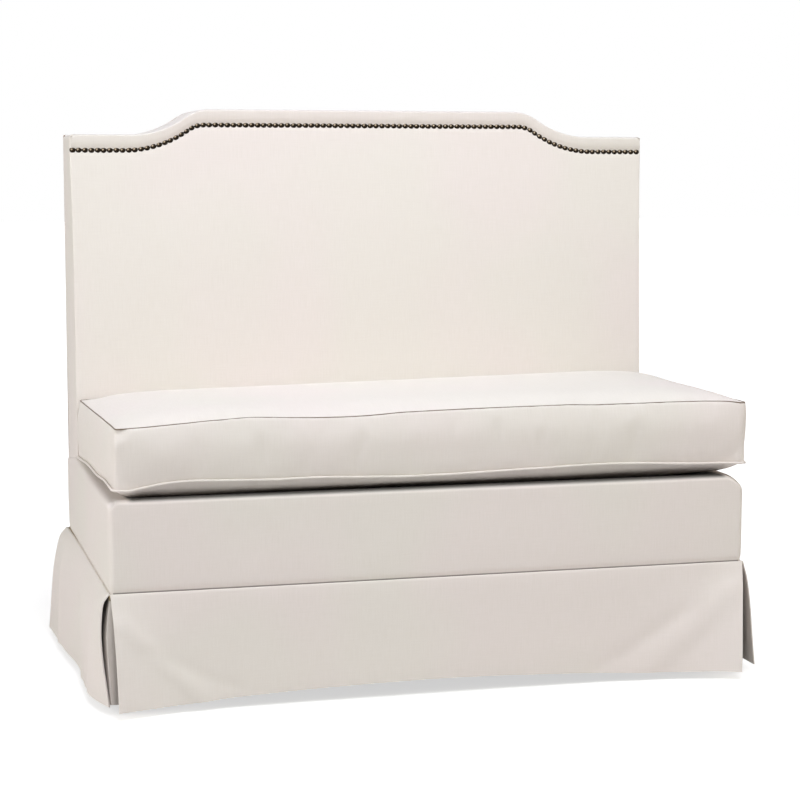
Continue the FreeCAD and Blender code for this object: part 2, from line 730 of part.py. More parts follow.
clips = []
clip_steel = S.clip_steel
for number, x in enumerate(spring_places):
    centre_x = S.spring_spacing * (number - spring_offset)
    for rail_name, edge, way in (("front", front_rail_rear, -1), ("rear", spring_rail_front, 1)):
        outer = edge + way * S.clip_reach
        inner = outer - way * (S.clip_reach - 2 * clip_steel)
        points = [(inner, rail_top), (outer, rail_top), (outer, rail_top + clip_height),
                  (inner, rail_top + clip_height), (inner, rail_top + clip_height - clip_steel),
                  (outer - way * clip_steel, rail_top + clip_height - clip_steel),
                  (outer - way * clip_steel, rail_top + clip_steel), (inner, rail_top + clip_steel)]
        clips.append(sketched_body("clip_%s_%d" % (rail_name, number), "YZ", points, S.clip_width,
                                   (centre_x - S.clip_width / 2, 0, 0)))
node(group("spring_clips", clips), "spring_clips")

hollow_front = front_rail_rear - S.clip_reach - S.soft_gap
hollow_rear = spring_rail_front + S.clip_reach + S.soft_gap
node(block("spring_insulator", (-panel_inner, front_rail_rear, hollow_top - S.insulator),
           (2 * panel_inner, spring_rail_front - front_rail_rear, S.insulator)), "spring_insulator")


def solid_box(low, high):
    low, high = vector(*low), vector(*high)
    sides = high - low
    return Part.makeBox(sides.x, sides.y, sides.z, low)


def round_edges(shape, radius, wanted):
    """Rounds the edges whose middle passes a test."""
    chosen = [edge for edge in shape.Edges if wanted(edge.CenterOfMass, edge)]
    return shape.makeFillet(radius, chosen)


def deck_form(inset):
    """The padded seat deck a distance inside its cloth: round-edged in front, square under the back."""
    side = half_width - inset
    face = back_face(S.deck_height)
    top = S.deck_height - inset
    radius = value(S.edge_round - inset)
    front_part = solid_box((-side, inset - half_depth, rail_bottom), (side, face, top))

    def upper(middle, edge):
        high = abs(middle.z - value(top)) < radius * NEAR_SHARE
        return high and middle.y < value(face) - radius * NEAR_SHARE

    front_part = round_edges(front_part, radius, upper)
    rear_part = solid_box((-side, face, rail_bottom), (side, half_depth - S.cloth, top))
    return front_part.fuse(rear_part).removeSplitter()


deck_outer = deck_form(0)
deck_inner = deck_form(S.cloth)
overrun = S.edge_round
open_bottom = solid_box((S.cloth - half_width, S.cloth - half_depth, rail_bottom - overrun),
                        (half_width - S.cloth, half_depth, rail_bottom))
open_top = solid_box((S.cloth - half_width, deck_rear, rail_bottom - overrun),
                     (half_width - S.cloth, half_depth, S.deck_height + overrun))
deck_cover = deck_outer.cut(deck_inner).cut(open_bottom).cut(open_top)
node(feature("deck_cover", deck_cover), "deck_cover")

foam_room = solid_box((-half_width, -half_depth, rail_top), (half_width, deck_rear, S.deck_height))
spring_hollow = solid_box((-panel_inner, hollow_front, rail_top), (panel_inner, hollow_rear, hollow_top))
deck_foam = deck_inner.common(foam_room).cut(spring_hollow)
node(feature("deck_foam", deck_foam), "deck_foam")


def face_of(outline, y):
    """The face of a contour outline on an upright plane."""
    points, radii = outline
    edges = []
    for number, radius in enumerate(radii):
        start, end = points[number], points[(number + 1) % len(points)]
        first, last = vector(start[0], y, start[1]), vector(end[0], y, end[1])
        if radius is None:
            edges.append(Part.LineSegment(first, last).toShape())
            continue
        chord = last - first
        turn = math.copysign(1, value(radius))
        bow = abs(value(radius)) - math.sqrt(value(radius) ** 2 - chord.Length ** 2 / 4)
        outwards = Vector(chord.z, 0, -chord.x).normalize() * turn * bow
        edges.append(Part.Arc(first, (first + last) / 2 + outwards, last).toShape())
    return Part.Face(Part.Wire(edges))


def leaning_solid(front, rear, low, high):
    """A full-width solid behind the leaning face, to an upright rear plane or to a leaning layer."""
    rear_low, rear_high = rear if isinstance(rear, tuple) else (back_face(low, rear), back_face(high, rear))
    profile = [(back_face(low, front), low), (rear_low, low), (rear_high, high),
               (back_face(high, front), high)]
    ring = [vector(-half_width, y, z) for y, z in profile]
    return Part.Face(Part.makePolygon(ring + ring[:1])).extrude(vector(S.seat_width, 0, 0))


def back_form(inset):
    """The padded back above the deck, a distance inside its cloth, round along its front edges."""
    outline = contour_outline(inset, S.deck_height)
    start = back_face(S.deck_height)
    prism = face_of(outline, start).extrude(vector(0, half_depth - S.cloth - start, 0))
    rear = half_depth - S.cloth
    form = prism.common(leaning_solid(inset, (rear, rear), S.deck_height, S.crest_height))
    radius = value(S.edge_round - inset)

    def on_front(middle, edge):
        tolerance = radius * NEAR_SHARE
        ends = [vertex.Point for vertex in edge.Vertexes]
        leaning = all(abs(end.y - value(back_face(end.z, inset))) < tolerance for end in ends)
        return leaning and middle.z > value(S.deck_height) + tolerance

    return round_edges(form, radius, on_front)


back_outer = back_form(0)
back_inner = back_form(S.cloth)
node(feature("inside_back_cover", back_outer.cut(back_inner)), "inside_back_cover")

foam_slice = leaning_solid(S.cloth, foam_rear, S.deck_height, S.crest_height)
doc.recompute()
back_foam = back_inner.common(foam_slice).cut(doc.getObject("nailing_strip").Shape)
node(feature("back_foam", back_foam), "back_foam")

# Nailhead trim: domed nails at an even pitch along a line parallel to the top.
nail_end_x = half_width - S.nail_end


def nail_line_places():
    """Evenly spaced points, and the line's length, along the contour at the nails' inset."""
    points, radii = contour(S.nail_line, nail_end_x)
    edges = []
    for number, radius in enumerate(radii):
        first, last = vector(*points[number]), vector(*points[number + 1])
        if radius is None:
            edges.append(Part.LineSegment(first, last).toShape())
            continue
        chord = last - first
        turn = math.copysign(1, value(radius))
        bow = abs(value(radius)) - math.sqrt(value(radius) ** 2 - chord.Length ** 2 / 4)
        outwards = Vector(chord.y, -chord.x, 0).normalize() * turn * bow
        edges.append(Part.Arc(first, (first + last) / 2 + outwards, last).toShape())
    line = Part.Wire(edges)
    return line.discretize(Number=round(line.Length / value(S.nail_pitch)) + 1)


def faceted(rings):
    """A solid of flat faces through rings of as many points each."""
    faces = [Part.Face(Part.makePolygon(ring + ring[:1])) for ring in (rings[0], rings[-1])]
    for lower, upper in zip(rings, rings[1:]):
        for i in range(len(lower)):
            following = (i + 1) % len(lower)
            side = [lower[i], lower[following], upper[following], upper[i], lower[i]]
            faces.append(Part.Face(Part.makePolygon(side)))
    solid = Part.Solid(Part.Shell(faces))
    if solid.Volume < 0:
        solid.reverse()
    return solid


def nail_ring(radius, y):
    """Corners of one of a nail's facets' rings, square to its shank."""
    angles = [math.radians(360 * number / NAIL_SIDES) for number in range(NAIL_SIDES)]
    return [Vector(radius * math.cos(angle), y, radius * math.sin(angle)) for angle in angles]


def nail():
    """One hammered nail pointing along +Y from the cloth's face: a faceted dome and a tapering shank."""
    head_radius, rise, shank = value(S.nail_radius), value(S.nail_dome), value(S.nail_shank)
    head = faceted([nail_ring(head_radius * radius_share, -rise * height_share)
                    for radius_share, height_share in NAIL_DOME_SHARES])
    point = faceted([nail_ring(shank, 0), nail_ring(shank * NAIL_TIP_SHARE, value(S.nail_shank_length))])
    return head.fuse(point)


lean_angle = math.degrees(math.atan(value(lean_slope)))
one_nail = nail()
nails = []
for spot in nail_line_places():
    driven = one_nail.copy()
    driven.Placement = FreeCAD.Placement(vector(spot.x, back_face(spot.y), spot.y),
                                         FreeCAD.Rotation(Vector(1, 0, 0), -lean_angle))
    nails.append(driven)
node(feature("nailhead_trim", Part.makeCompound(nails)), "nailhead_trim")

# Loose box cushion with piped edges.
cushion_half = half_width - S.cushion_side_inset
cushion_front = -half_depth - S.cushion_overhang
low_welt = S.deck_height + S.welt_over_deck
high_welt = low_welt + S.boxing_height
cushion_back = back_face(low_welt) - S.soft_gap
cover_inset = 2 * S.welt_radius + S.welt_gap
cushion_low = S.deck_height + S.soft_gap


def cushion_ring(height, inset, bow=0):
    """A rounded rectangle inside the cushion's outline, its sides bowed in by the given amount."""
    left, right = S.cushion_shift - cushion_half + inset, S.cushion_shift + cushion_half - inset
    near, far = cushion_front + inset, cushion_back - inset
    radius = max(value(S.cushion_corner - inset), value(S.cushion_corner) * LEAST_CORNER_SHARE)
    low, high = vector(left, near, height), vector(right, far, height)
    bow = value(bow)
    middle = (low + high) / 2
    z = low.z
    bend = radius * (1 - math.sqrt(0.5))
    spots = [
        (Vector(low.x + radius, low.y, z), Vector(middle.x, low.y + bow, z),
         Vector(high.x - radius, low.y, z)),
        (Vector(high.x - radius, low.y, z), Vector(high.x - bend, low.y + bend, z),
         Vector(high.x, low.y + radius, z)),
        (Vector(high.x, low.y + radius, z), Vector(high.x - bow, middle.y, z),
         Vector(high.x, high.y - radius, z)),
        (Vector(high.x, high.y - radius, z), Vector(high.x - bend, high.y - bend, z),
         Vector(high.x - radius, high.y, z)),
        (Vector(high.x - radius, high.y, z), Vector(middle.x, high.y - bow, z),
         Vector(low.x + radius, high.y, z)),
        (Vector(low.x + radius, high.y, z), Vector(low.x + bend, high.y - bend, z),
         Vector(low.x, high.y - radius, z)),
        (Vector(low.x, high.y - radius, z), Vector(low.x + bow, middle.y, z),
         Vector(low.x, low.y + radius, z)),
        (Vector(low.x, low.y + radius, z), Vector(low.x + bend, low.y + bend, z),
         Vector(low.x + radius, low.y, z)),
    ]
    edges = []
    for number, (first, through, last) in enumerate(spots):
        if number % 2 == 0 and bow == 0:
            edges.append(Part.LineSegment(first, last).toShape())
        else:
            edges.append(Part.Arc(first, through, last).toShape())
    return Part.Wire(edges)


half_cushion_depth = (cushion_back - cushion_front) / 2


def cushion_dome(edge_height, rise, shares, inset):
    """The crown over the upper welt, or with a rise below zero the belly under the lower one."""
    rings = []
    for height_share, inset_share in shares:
        rings.append(cushion_ring(edge_height + height_share * rise,
                                  cover_inset + inset + inset_share * half_cushion_depth))
    return Part.makeLoft(rings, True, False)


def cushion_sides(inset, low, high):
    middle = (low + high) / 2
    drawn_in = cover_inset + inset + S.cushion_draw
    rings = [cushion_ring(low, cover_inset + inset), cushion_ring(middle, drawn_in, S.cushion_bow),
             cushion_ring(high, cover_inset + inset)]
    return Part.makeLoft(rings, True, False)


belly = cushion_low - low_welt
top_outer = cushion_dome(high_welt, S.cushion_crown, CROWN_SHARES, 0)
top_inner = cushion_dome(high_welt - S.cloth, S.cushion_crown, CROWN_SHARES, S.cloth)
bottom_outer = cushion_dome(low_welt, belly, BELLY_SHARES, 0)
bottom_inner = cushion_dome(low_welt + S.cloth, belly, BELLY_SHARES, S.cloth)
sides_outer = cushion_sides(0, low_welt, high_welt)
sides_inner = cushion_sides(S.cloth, low_welt, high_welt)
under_high_welt = solid_box((-S.seat_width, -S.body_depth, 0),
                            (S.seat_width, S.body_depth, high_welt))
under_low_welt = solid_box((-S.seat_width, -S.body_depth, 0),
                           (S.seat_width, S.body_depth, low_welt))
filling = sides_inner.fuse([top_inner.cut(under_high_welt), bottom_inner.common(under_low_welt)])
node(feature("cushion_top_cover", top_outer.cut(top_inner)), "cushion_top_cover")
node(feature("cushion_bottom_cover", bottom_outer.cut(bottom_inner)), "cushion_bottom_cover")
node(feature("cushion_boxing", sides_outer.cut(sides_inner)), "cushion_boxing")

core_inset = cover_inset + S.cloth + S.cushion_draw + S.fibre_wrap
core_half = cushion_half - core_inset
core = solid_box((S.cushion_shift - core_half, cushion_front + core_inset, low_welt),
                 (S.cushion_shift + core_half, cushion_back - core_inset, high_welt))
core = core.makeChamfer(value(S.foam_chamfer), core.Edges)
node(feature("cushion_foam", core), "cushion_foam")
node(feature("cushion_fibre_wrap", filling.cut(core)), "cushion_fibre_wrap")

welts = []
for height in (high_welt, low_welt):
    path = cushion_ring(height, S.welt_radius)
    start = path.Vertexes[0].Point
    ring = Part.Wire(Part.makeCircle(value(S.welt_radius), start, path.Edges[0].tangentAt(0)))
    welts.append(path.makePipeShell([ring], True, False))
node(feature("cushion_welts", Part.makeCompound(welts)), "cushion_welts")

# Zip in the middle of the rear boxing, closed towards the left, with its slider and pull.
zip_height = (low_welt + high_welt) / 2
boxing_back = cushion_back - cover_inset - S.cushion_draw
zip_left = S.cushion_shift - S.zip_length / 2
tape_front = boxing_back + S.zip_play
tape_back = tape_front + S.zip_tape
neck_back = tape_back + S.zip_neck_depth
bead_back = neck_back + S.zip_bead_depth
node(block("zip_tape", (zip_left, tape_front, zip_height - S.zip_tape_width / 2),
           (S.zip_length, S.zip_tape, S.zip_tape_width)), "zip_tape")
chain_points = [(tape_back, zip_height - S.zip_neck / 2), (neck_back, zip_height - S.zip_neck / 2),
                (neck_back, zip_height - S.zip_bead / 2), (bead_back, zip_height - S.zip_bead / 2),
                (bead_back, zip_height + S.zip_bead / 2), (neck_back, zip_height + S.zip_bead / 2),
                (neck_back, zip_height + S.zip_neck / 2), (tape_back, zip_height + S.zip_neck / 2)]
node(sketched_body("zip_chain", "YZ", chain_points, S.zip_length, (zip_left, 0, 0)), "zip_chain")

channel_half = S.zip_bead / 2 + S.zip_play
mouth_half = S.zip_neck / 2 + S.zip_play
slider_half = channel_half + S.slider_wall
lip_front, lip_back = tape_back + S.zip_play, neck_back - S.zip_play
channel_back = bead_back + S.zip_play
slider_back = channel_back + S.slider_wall
slider_points = [(lip_front, zip_height - mouth_half), (lip_front, zip_height - slider_half),
                 (slider_back, zip_height - slider_half), (slider_back, zip_height + slider_half),
                 (lip_front, zip_height + slider_half), (lip_front, zip_height + mouth_half),
                 (lip_back, zip_height + mouth_half), (lip_back, zip_height + channel_half),
                 (channel_back, zip_height + channel_half), (channel_back, zip_height - channel_half),
                 (lip_back, zip_height - channel_half), (lip_back, zip_height - mouth_half)]
slider_body = sketched_body("slider_body", "YZ", slider_points, S.slider_length, (zip_left, 0, 0))
pin_x = zip_left + S.slider_length / 2
pin_y = slider_back + S.slider_lug_radius
lug_height = (2 * slider_half - S.pull_width) / 2
lug_parts = []
lug_places = (("lower", zip_height - slider_half), ("upper", zip_height + slider_half - lug_height))
for lug_name, lug_low in lug_places:
    lug_parts.append(rod("slider_lug_" + lug_name, (pin_x, pin_y, lug_low), S.slider_lug_radius, lug_height))
    lug_parts.append(block("slider_web_" + lug_name, (pin_x - S.slider_lug_radius, slider_back, lug_low),
                           (2 * S.slider_lug_radius, S.slider_lug_radius, lug_height)))
lug_parts.append(rod("slider_pin", (pin_x, pin_y, zip_height - slider_half), S.pull_pin_radius,
                     2 * slider_half))
slider = doc.addObject("Part::MultiFuse", "zip_slider")
slider.Shapes = [slider_body] + lug_parts
node(slider, "zip_slider")

pull_low = zip_height - S.pull_width / 2 + S.pull_play
pull_height = S.pull_width - 2 * S.pull_play
pull_eye = rod("pull_eye", (pin_x, pin_y, pull_low), S.slider_lug_radius - S.pull_play, pull_height)
pull_tab = block("pull_tab", (pin_x, pin_y - S.pull_thick / 2, pull_low),
                 (S.pull_length, S.pull_thick, pull_height))
pull_solid = doc.addObject("Part::Fuse", "pull_solid")
pull_solid.Base = pull_eye
pull_solid.Tool = pull_tab
pull_hole = rod("pull_hole", (pin_x, pin_y, pull_low), S.pull_pin_radius + S.run_clearance, pull_height)
node(cut("zip_pull", pull_solid, pull_hole), "zip_pull")

# Skirt: four lined panels hung from a tacking strip, with a pleat behind each open corner.
strip_low = S.skirt_seam - S.tack_strip_height
strip_outer = solid_box((-half_width - S.tack_strip, -half_depth - S.tack_strip, strip_low),
                        (half_width + S.tack_strip, half_depth + S.tack_strip, S.skirt_seam))
strip_inner = solid_box((-half_width, -half_depth, strip_low), (half_width, half_depth, S.skirt_seam))
node(feature("skirt_tack_strip", strip_outer.cut(strip_inner)), "skirt_tack_strip")


def skirt_section(half_length, stand_off, folds, flare, height):
    """The panel's closed outline at one height, in its own frame: along it, and out from the bench."""
    inner = [Vector(share * half_length, -(stand_off + fold * flare), height) for share, fold in folds]
    thick = value(S.skirt_cloth)
    outer = [point - Vector(0, thick, 0) for point in inner]
    edges = []
    for start in range(0, len(inner) - 1, 2):
        edges.append(Part.Arc(inner[start], inner[start + 1], inner[start + 2]).toShape())
    edges.append(Part.LineSegment(inner[-1], outer[-1]).toShape())
    for start in range(len(outer) - 1, 0, -2):
        edges.append(Part.Arc(outer[start], outer[start - 1], outer[start - 2]).toShape())
    edges.append(Part.LineSegment(outer[0], inner[0]).toShape())
    return Part.Wire(edges)


def skirt_panel(label, half_length, stand_off, folds, flare, turn):
    """A panel lofted from the seam to the hem, then turned to its side of the bench."""
    drop = value(S.skirt_seam - S.skirt_hem)
    lean_out = value(flare) * LEAST_FLARE_SHARE
    sections = []
    for drop_share, swing_share in DROP_SHARES:
        swing = max(value(flare) * swing_share, lean_out)
        sections.append(skirt_section(value(half_length), value(stand_off), folds, swing,
                                      value(S.skirt_seam) - drop * drop_share))
    node(feature(label, Part.makeLoft(sections, True, False), turn), label)


long_half = half_width - S.skirt_corner_gap
short_half = half_depth - S.skirt_corner_gap
front_stand_off = half_depth + S.tack_strip
side_stand_off = half_width + S.tack_strip
# The flare counts to the cloth's outer face, so that the bench's footprint is even.
front_flare = S.skirt_front_flare - S.tack_strip - S.skirt_cloth
side_flare = S.skirt_side_flare - S.tack_strip - S.skirt_cloth
mirrored_left = tuple((-share, fold) for share, fold in reversed(LEFT_FOLD_SHARES))
skirt_panel("skirt_front", long_half, front_stand_off, FRONT_FOLD_SHARES, front_flare, 0)
skirt_panel("skirt_rear", long_half, front_stand_off, FRONT_FOLD_SHARES, front_flare, 180)
skirt_panel("skirt_left", short_half, side_stand_off, mirrored_left, side_flare, -90)
skirt_panel("skirt_right", short_half, side_stand_off, RIGHT_FOLD_SHARES, side_flare, 90)


def pleat_section(flare, height):
    """An angle of cloth round the front-right corner, seen from above."""
    gap, thick = value(S.soft_gap) + flare, value(S.skirt_cloth)
    x, y = value(half_width) + gap, -value(half_depth) - gap
    reach = value(S.pleat_width) + gap
    ring = [Vector(x, y, height), Vector(x, y + reach, height), Vector(x + thick, y + reach, height),
            Vector(x + thick, y - thick, height), Vector(x - reach, y - thick, height),
            Vector(x - reach, y, height)]
    return Part.makePolygon(ring + ring[:1])


pleat_top = pleat_section(0, value(strip_low))
pleat_hem = pleat_section(value(S.pleat_flare), value(S.skirt_hem))
pleat = Part.makeLoft([pleat_top, pleat_hem], True, True)
pleats = []
for x_side, y_side, rail_face, corner_name in corners:
    folded = pleat.copy()
    if x_side < 0:
        folded = folded.mirror(Vector(), Vector(1, 0, 0))
    if y_side > 0:
        folded = folded.mirror(Vector(), Vector(0, 1, 0))
    pleats.append(folded)
node(feature("skirt_pleats", Part.makeCompound(pleats)), "skirt_pleats")

doc.recompute()
os.makedirs("parts", exist_ok=True)
for item in doc.Objects:
    if "Invalid" in item.State or "Error" in item.State:
        raise RuntimeError("failed: %s %s" % (item.Label, item.State))
for item in NODES:
    if item.Shape.isNull() or not item.Shape.isValid():
        raise RuntimeError("bad shape: " + item.Label)
for item in NODES:
    item.Shape.exportStep("parts/%s.step" % item.Label)
    print("%-28s %2d solids %12.0f mm3" % (item.Label, len(item.Shape.Solids), item.Shape.Volume))
print(len(NODES), "sub-parts")
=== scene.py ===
import math
import random

import bmesh
import bpy
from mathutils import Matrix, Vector, noise


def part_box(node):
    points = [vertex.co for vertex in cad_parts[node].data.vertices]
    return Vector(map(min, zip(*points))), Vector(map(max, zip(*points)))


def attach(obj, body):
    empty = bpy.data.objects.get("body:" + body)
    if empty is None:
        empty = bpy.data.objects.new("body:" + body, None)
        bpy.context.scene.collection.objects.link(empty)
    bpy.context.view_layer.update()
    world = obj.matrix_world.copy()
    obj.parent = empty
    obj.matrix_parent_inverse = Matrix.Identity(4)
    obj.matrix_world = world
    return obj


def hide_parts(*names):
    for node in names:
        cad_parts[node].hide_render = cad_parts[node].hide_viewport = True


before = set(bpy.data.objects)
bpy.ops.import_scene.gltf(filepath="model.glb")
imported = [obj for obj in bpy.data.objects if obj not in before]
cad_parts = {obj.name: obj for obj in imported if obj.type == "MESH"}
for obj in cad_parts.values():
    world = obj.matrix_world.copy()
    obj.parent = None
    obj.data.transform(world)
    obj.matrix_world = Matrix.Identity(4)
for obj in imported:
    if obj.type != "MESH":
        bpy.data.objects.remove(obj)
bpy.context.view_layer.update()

# Camera and stage: the bench is seen from a little to its left and above the seat, on a white floor
# under soft lamps, with the strongest overhead, so that upright cloth is a shade darker than level cloth.
CAMERA_PLACE = (-1.0378, -3.903, 0.9889)
CAMERA_YAW = 15.14
CAMERA_PITCH = -6.70
CAMERA_ROLL = -0.10
LENS = 90.89
SENSOR = 36

lens_data = bpy.data.cameras.new("camera")
lens_data.lens = LENS
lens_data.sensor_width = SENSOR
camera = bpy.data.objects.new("camera", lens_data)
camera.location = CAMERA_PLACE
camera.rotation_euler = [math.radians(angle) for angle in (90 + CAMERA_PITCH, CAMERA_ROLL, -CAMERA_YAW)]
bpy.context.collection.objects.link(camera)
bpy.context.scene.camera = camera
bpy.context.scene.view_settings.view_transform = "Standard"


def feed(to_node, name, source):
    """Sets a plain number or colour on one of a node's inputs, or wires another node's socket to it."""
    if isinstance(source, bpy.types.NodeSocket):
        to_node.id_data.links.new(source, to_node.inputs[name])
    else:
        to_node.inputs[name].default_value = source


def new_node(tree, kind):
    """A new shader node of a kind."""
    return tree.nodes.new("ShaderNode" + kind)


def new_material(name):
    """A material with its tree, its surface shader and its output ready to be wired."""
    material = bpy.data.materials.new(name)
    material.use_nodes = True
    tree = material.node_tree
    return material, tree, tree.nodes["Principled BSDF"]


def lamp(name, place, size, watts, colour=(1, 1, 1)):
    """A soft rectangular lamp aimed at the middle of the bench."""
    data = bpy.data.lights.new(name, "AREA")
    data.color = colour
    data.shape = "RECTANGLE"
    data.size, data.size_y = size
    data.energy = watts
    light = bpy.data.objects.new(name, data)
    light.location = place
    light.rotation_euler = (Vector((0, 0, 0.5)) - Vector(place)).to_track_quat("-Z", "Y").to_euler()
    bpy.context.collection.objects.link(light)


lamp("overhead", (0, -1.8, 3.0), (1.5, 1.5), 50, (0.94, 0.98, 1))
lamp("near_top", (0, -0.6, 3.2), (2.6, 1.6), 29, (0.78, 0.82, 1))
lamp("left_side", (-3.4, -0.7, 1.5), (2.0, 2.0), 57, (1, 0.98, 0.94))
lamp("right_side", (3.4, -2.2, 2.2), (2.4, 2.4), 38, (1, 0.94, 0.75))
lamp("low_front", (0.3, -4.2, 0.5), (2.6, 0.8), 3.5, (1, 0.6, 0.4))

world = bpy.data.worlds.new("sky")
bpy.context.scene.world = world
world.use_nodes = True
SKY_LIGHT = 0.12
sky_tree = world.node_tree
sky_light = sky_tree.nodes["Background"]
feed(sky_light, "Color", (1, 1, 1, 1))
feed(sky_light, "Strength", SKY_LIGHT)
sky_seen = new_node(sky_tree, "Background")
feed(sky_seen, "Color", (1, 1, 1, 1))
feed(sky_seen, "Strength", 1)


def calculation(tree, operation, *sources):
    """A math node fed by sockets or plain numbers; gives its output."""
    made = new_node(tree, "Math")
    made.operation = operation
    for number, source in enumerate(sources):
        feed(made, number, source)
    return made.outputs[0]


def spread(tree, value, low, high, to_low=0.0, to_high=1.0):
    """Stretches a value from one span to another, held inside the second."""
    made = new_node(tree, "MapRange")
    for label, number in (("From Min", low), ("From Max", high), ("To Min", to_low), ("To Max", to_high)):
        feed(made, label, number)
    feed(made, "Value", value)
    return made.outputs[0]


def seen_directly(tree):
    """One where a ray comes from the camera, a gloss or through glass, and nought elsewhere."""
    rays = new_node(tree, "LightPath")
    opaque = calculation(tree, "MAXIMUM", rays.outputs["Is Camera Ray"], rays.outputs["Is Glossy Ray"])
    return calculation(tree, "MAXIMUM", opaque, rays.outputs["Is Transmission Ray"])


sky_mix = new_node(sky_tree, "MixShader")
feed(sky_mix, 0, seen_directly(sky_tree))
feed(sky_mix, 1, sky_light.outputs[0])
feed(sky_mix, 2, sky_seen.outputs[0])
feed(sky_tree.nodes["World Output"], 0, sky_mix.outputs[0])

FLOOR_SIDE = 60
FLOOR_COLOUR = (0.78, 0.77, 0.76, 1)
GLOW_BY_BENCH = 0.6
SHADOW_REACH = (0.9, 2.0)
bpy.ops.object.select_all(action="DESELECT")
bpy.ops.mesh.primitive_plane_add(size=FLOOR_SIDE, location=(0, 0, 0))
floor = bpy.context.active_object
floor.name = "floor"
floor_material, floor_tree, floor_shader = new_material("white_floor")
feed(floor_shader, "Base Color", FLOOR_COLOUR)
feed(floor_shader, "Roughness", 0.9)
floor_glow = new_node(floor_tree, "Emission")
floor_place = new_node(floor_tree, "TexCoord")
from_bench = new_node(floor_tree, "VectorMath")
from_bench.operation = "LENGTH"
feed(from_bench, 0, floor_place.outputs["Object"])
glow_here = spread(floor_tree, from_bench.outputs["Value"], *SHADOW_REACH, GLOW_BY_BENCH)
floor_level = calculation(floor_tree, "MULTIPLY", seen_directly(floor_tree), glow_here)
feed(floor_glow, "Strength", floor_level)
floor_sum = new_node(floor_tree, "AddShader")
feed(floor_sum, 0, floor_shader.outputs[0])
feed(floor_sum, 1, floor_glow.outputs[0])
feed(floor_tree.nodes["Material Output"], 0, floor_sum.outputs[0])
floor.data.materials.append(floor_material)

# Cloth: one off-white plain weave of linen and cotton for the whole bench, with thicker slubs along both
# threads. Its pattern follows each piece's own flat pattern in metres, as cut cloth does.
THREAD = 0.0011
WANDER = THREAD * 0.8
RIDGE_FALL = 0.4
UPRIGHT_SLUBS = 0.62
SLUB = 0.9
BUMP_STRENGTH = 0.42
BUMP_HEIGHT = 0.00035
CLOTH_COLOUR = (0.845, 0.80, 0.745, 1)
CLOTH_DEEP = (0.70, 0.645, 0.575, 1)
CLOTH_PINK = (0.86, 0.79, 0.755, 1)
# Painted shade: dark brown for the shadow in the upper piping's groove, and near black for painted shadow
# under the cushion, in the front seam and in the pleats.
GROOVE_PAINTED_SHADE = (0.16, 0.11, 0.07, 1)
PAINTED_SHADOW_COLOUR = (0.012, 0.010, 0.008, 1)


def group_tree(name, inputs, outputs):
    """An empty shader group with its sockets, its input node and its output node."""
    tree = bpy.data.node_groups.new(name, "ShaderNodeTree")
    for label, kind in inputs:
        tree.interface.new_socket(name=label, in_out="INPUT", socket_type=kind)
    for label, kind in outputs:
        tree.interface.new_socket(name=label, in_out="OUTPUT", socket_type=kind)
    return tree, tree.nodes.new("NodeGroupInput"), tree.nodes.new("NodeGroupOutput")


def stretched_noise(tree, vector, scale, detail=2):
    """Noise whose grain is drawn out by a scale for each axis; gives its value."""
    mapping = new_node(tree, "Mapping")
    feed(mapping, "Scale", scale)
    feed(mapping, "Vector", vector)
    texture = new_node(tree, "TexNoise")
    feed(texture, "Scale", 1)
    feed(texture, "Detail", detail)
    feed(texture, "Vector", mapping.outputs[0])
    return texture.outputs["Fac"]


weave, weave_in, weave_out = group_tree(
    "plain_weave",
    [("Vector", "NodeSocketVector"), ("Thread", "NodeSocketFloat"), ("Slub", "NodeSocketFloat")],
    [("Height", "NodeSocketFloat"), ("Tone", "NodeSocketFloat")])
weave_split = new_node(weave, "SeparateXYZ")
feed(weave_split, 0, weave_in.outputs["Vector"])
wander = stretched_noise(weave, weave_in.outputs["Vector"], (60, 60, 60))
wander = calculation(weave, "MULTIPLY", wander, WANDER)
waves = []
for along_axis in ("X", "Y"):
    place = calculation(weave, "ADD", weave_split.outputs[along_axis], wander)
    turns = calculation(weave, "DIVIDE", place, weave_in.outputs["Thread"])
    waves.append(calculation(weave, "SINE", calculation(weave, "MULTIPLY", turns, math.pi)))
crossing = calculation(weave, "MULTIPLY", waves[0], waves[1])
warp_on_top = calculation(weave, "GREATER_THAN", crossing, 0)
ridges = [calculation(weave, "ABSOLUTE", wave) for wave in waves]
warp_height = calculation(weave, "MULTIPLY", ridges[0], calculation(weave, "POWER", ridges[1], RIDGE_FALL))
weft_height = calculation(weave, "MULTIPLY", ridges[1], calculation(weave, "POWER", ridges[0], RIDGE_FALL))
either = new_node(weave, "Mix")
feed(either, 0, warp_on_top)
feed(either, 2, weft_height)
feed(either, 3, warp_height)
upright_slubs = stretched_noise(weave, weave_in.outputs["Vector"], (620, 26, 1), 3)
level_slubs = stretched_noise(weave, weave_in.outputs["Vector"], (24, 560, 1), 3)
slubs = calculation(weave, "ADD", calculation(weave, "MULTIPLY", upright_slubs, UPRIGHT_SLUBS),
                    calculation(weave, "MULTIPLY", level_slubs, 1 - UPRIGHT_SLUBS))
slub_height = calculation(weave, "MULTIPLY", slubs, weave_in.outputs["Slub"])
feed(weave_out, "Height", calculation(weave, "ADD", either.outputs[0], slub_height))
feed(weave_out, "Tone", slubs)


def colour_mix(tree, share, first, second):
    """Mixes two colours by a socket or number; each is a socket or a plain colour."""
    mix = new_node(tree, "Mix")
    mix.data_type = "RGBA"
    for place, source in ((0, share), (6, first), (7, second)):
        feed(mix, place, source)
    return mix.outputs[2]


def bumped(shader, height, strength, distance):
    """Gives a surface a bump from a height."""
    bump = new_node(shader.id_data, "Bump")
    feed(bump, "Strength", strength)
    feed(bump, "Distance", distance)
    feed(bump, "Height", height)
    feed(shader, "Normal", bump.outputs[0])


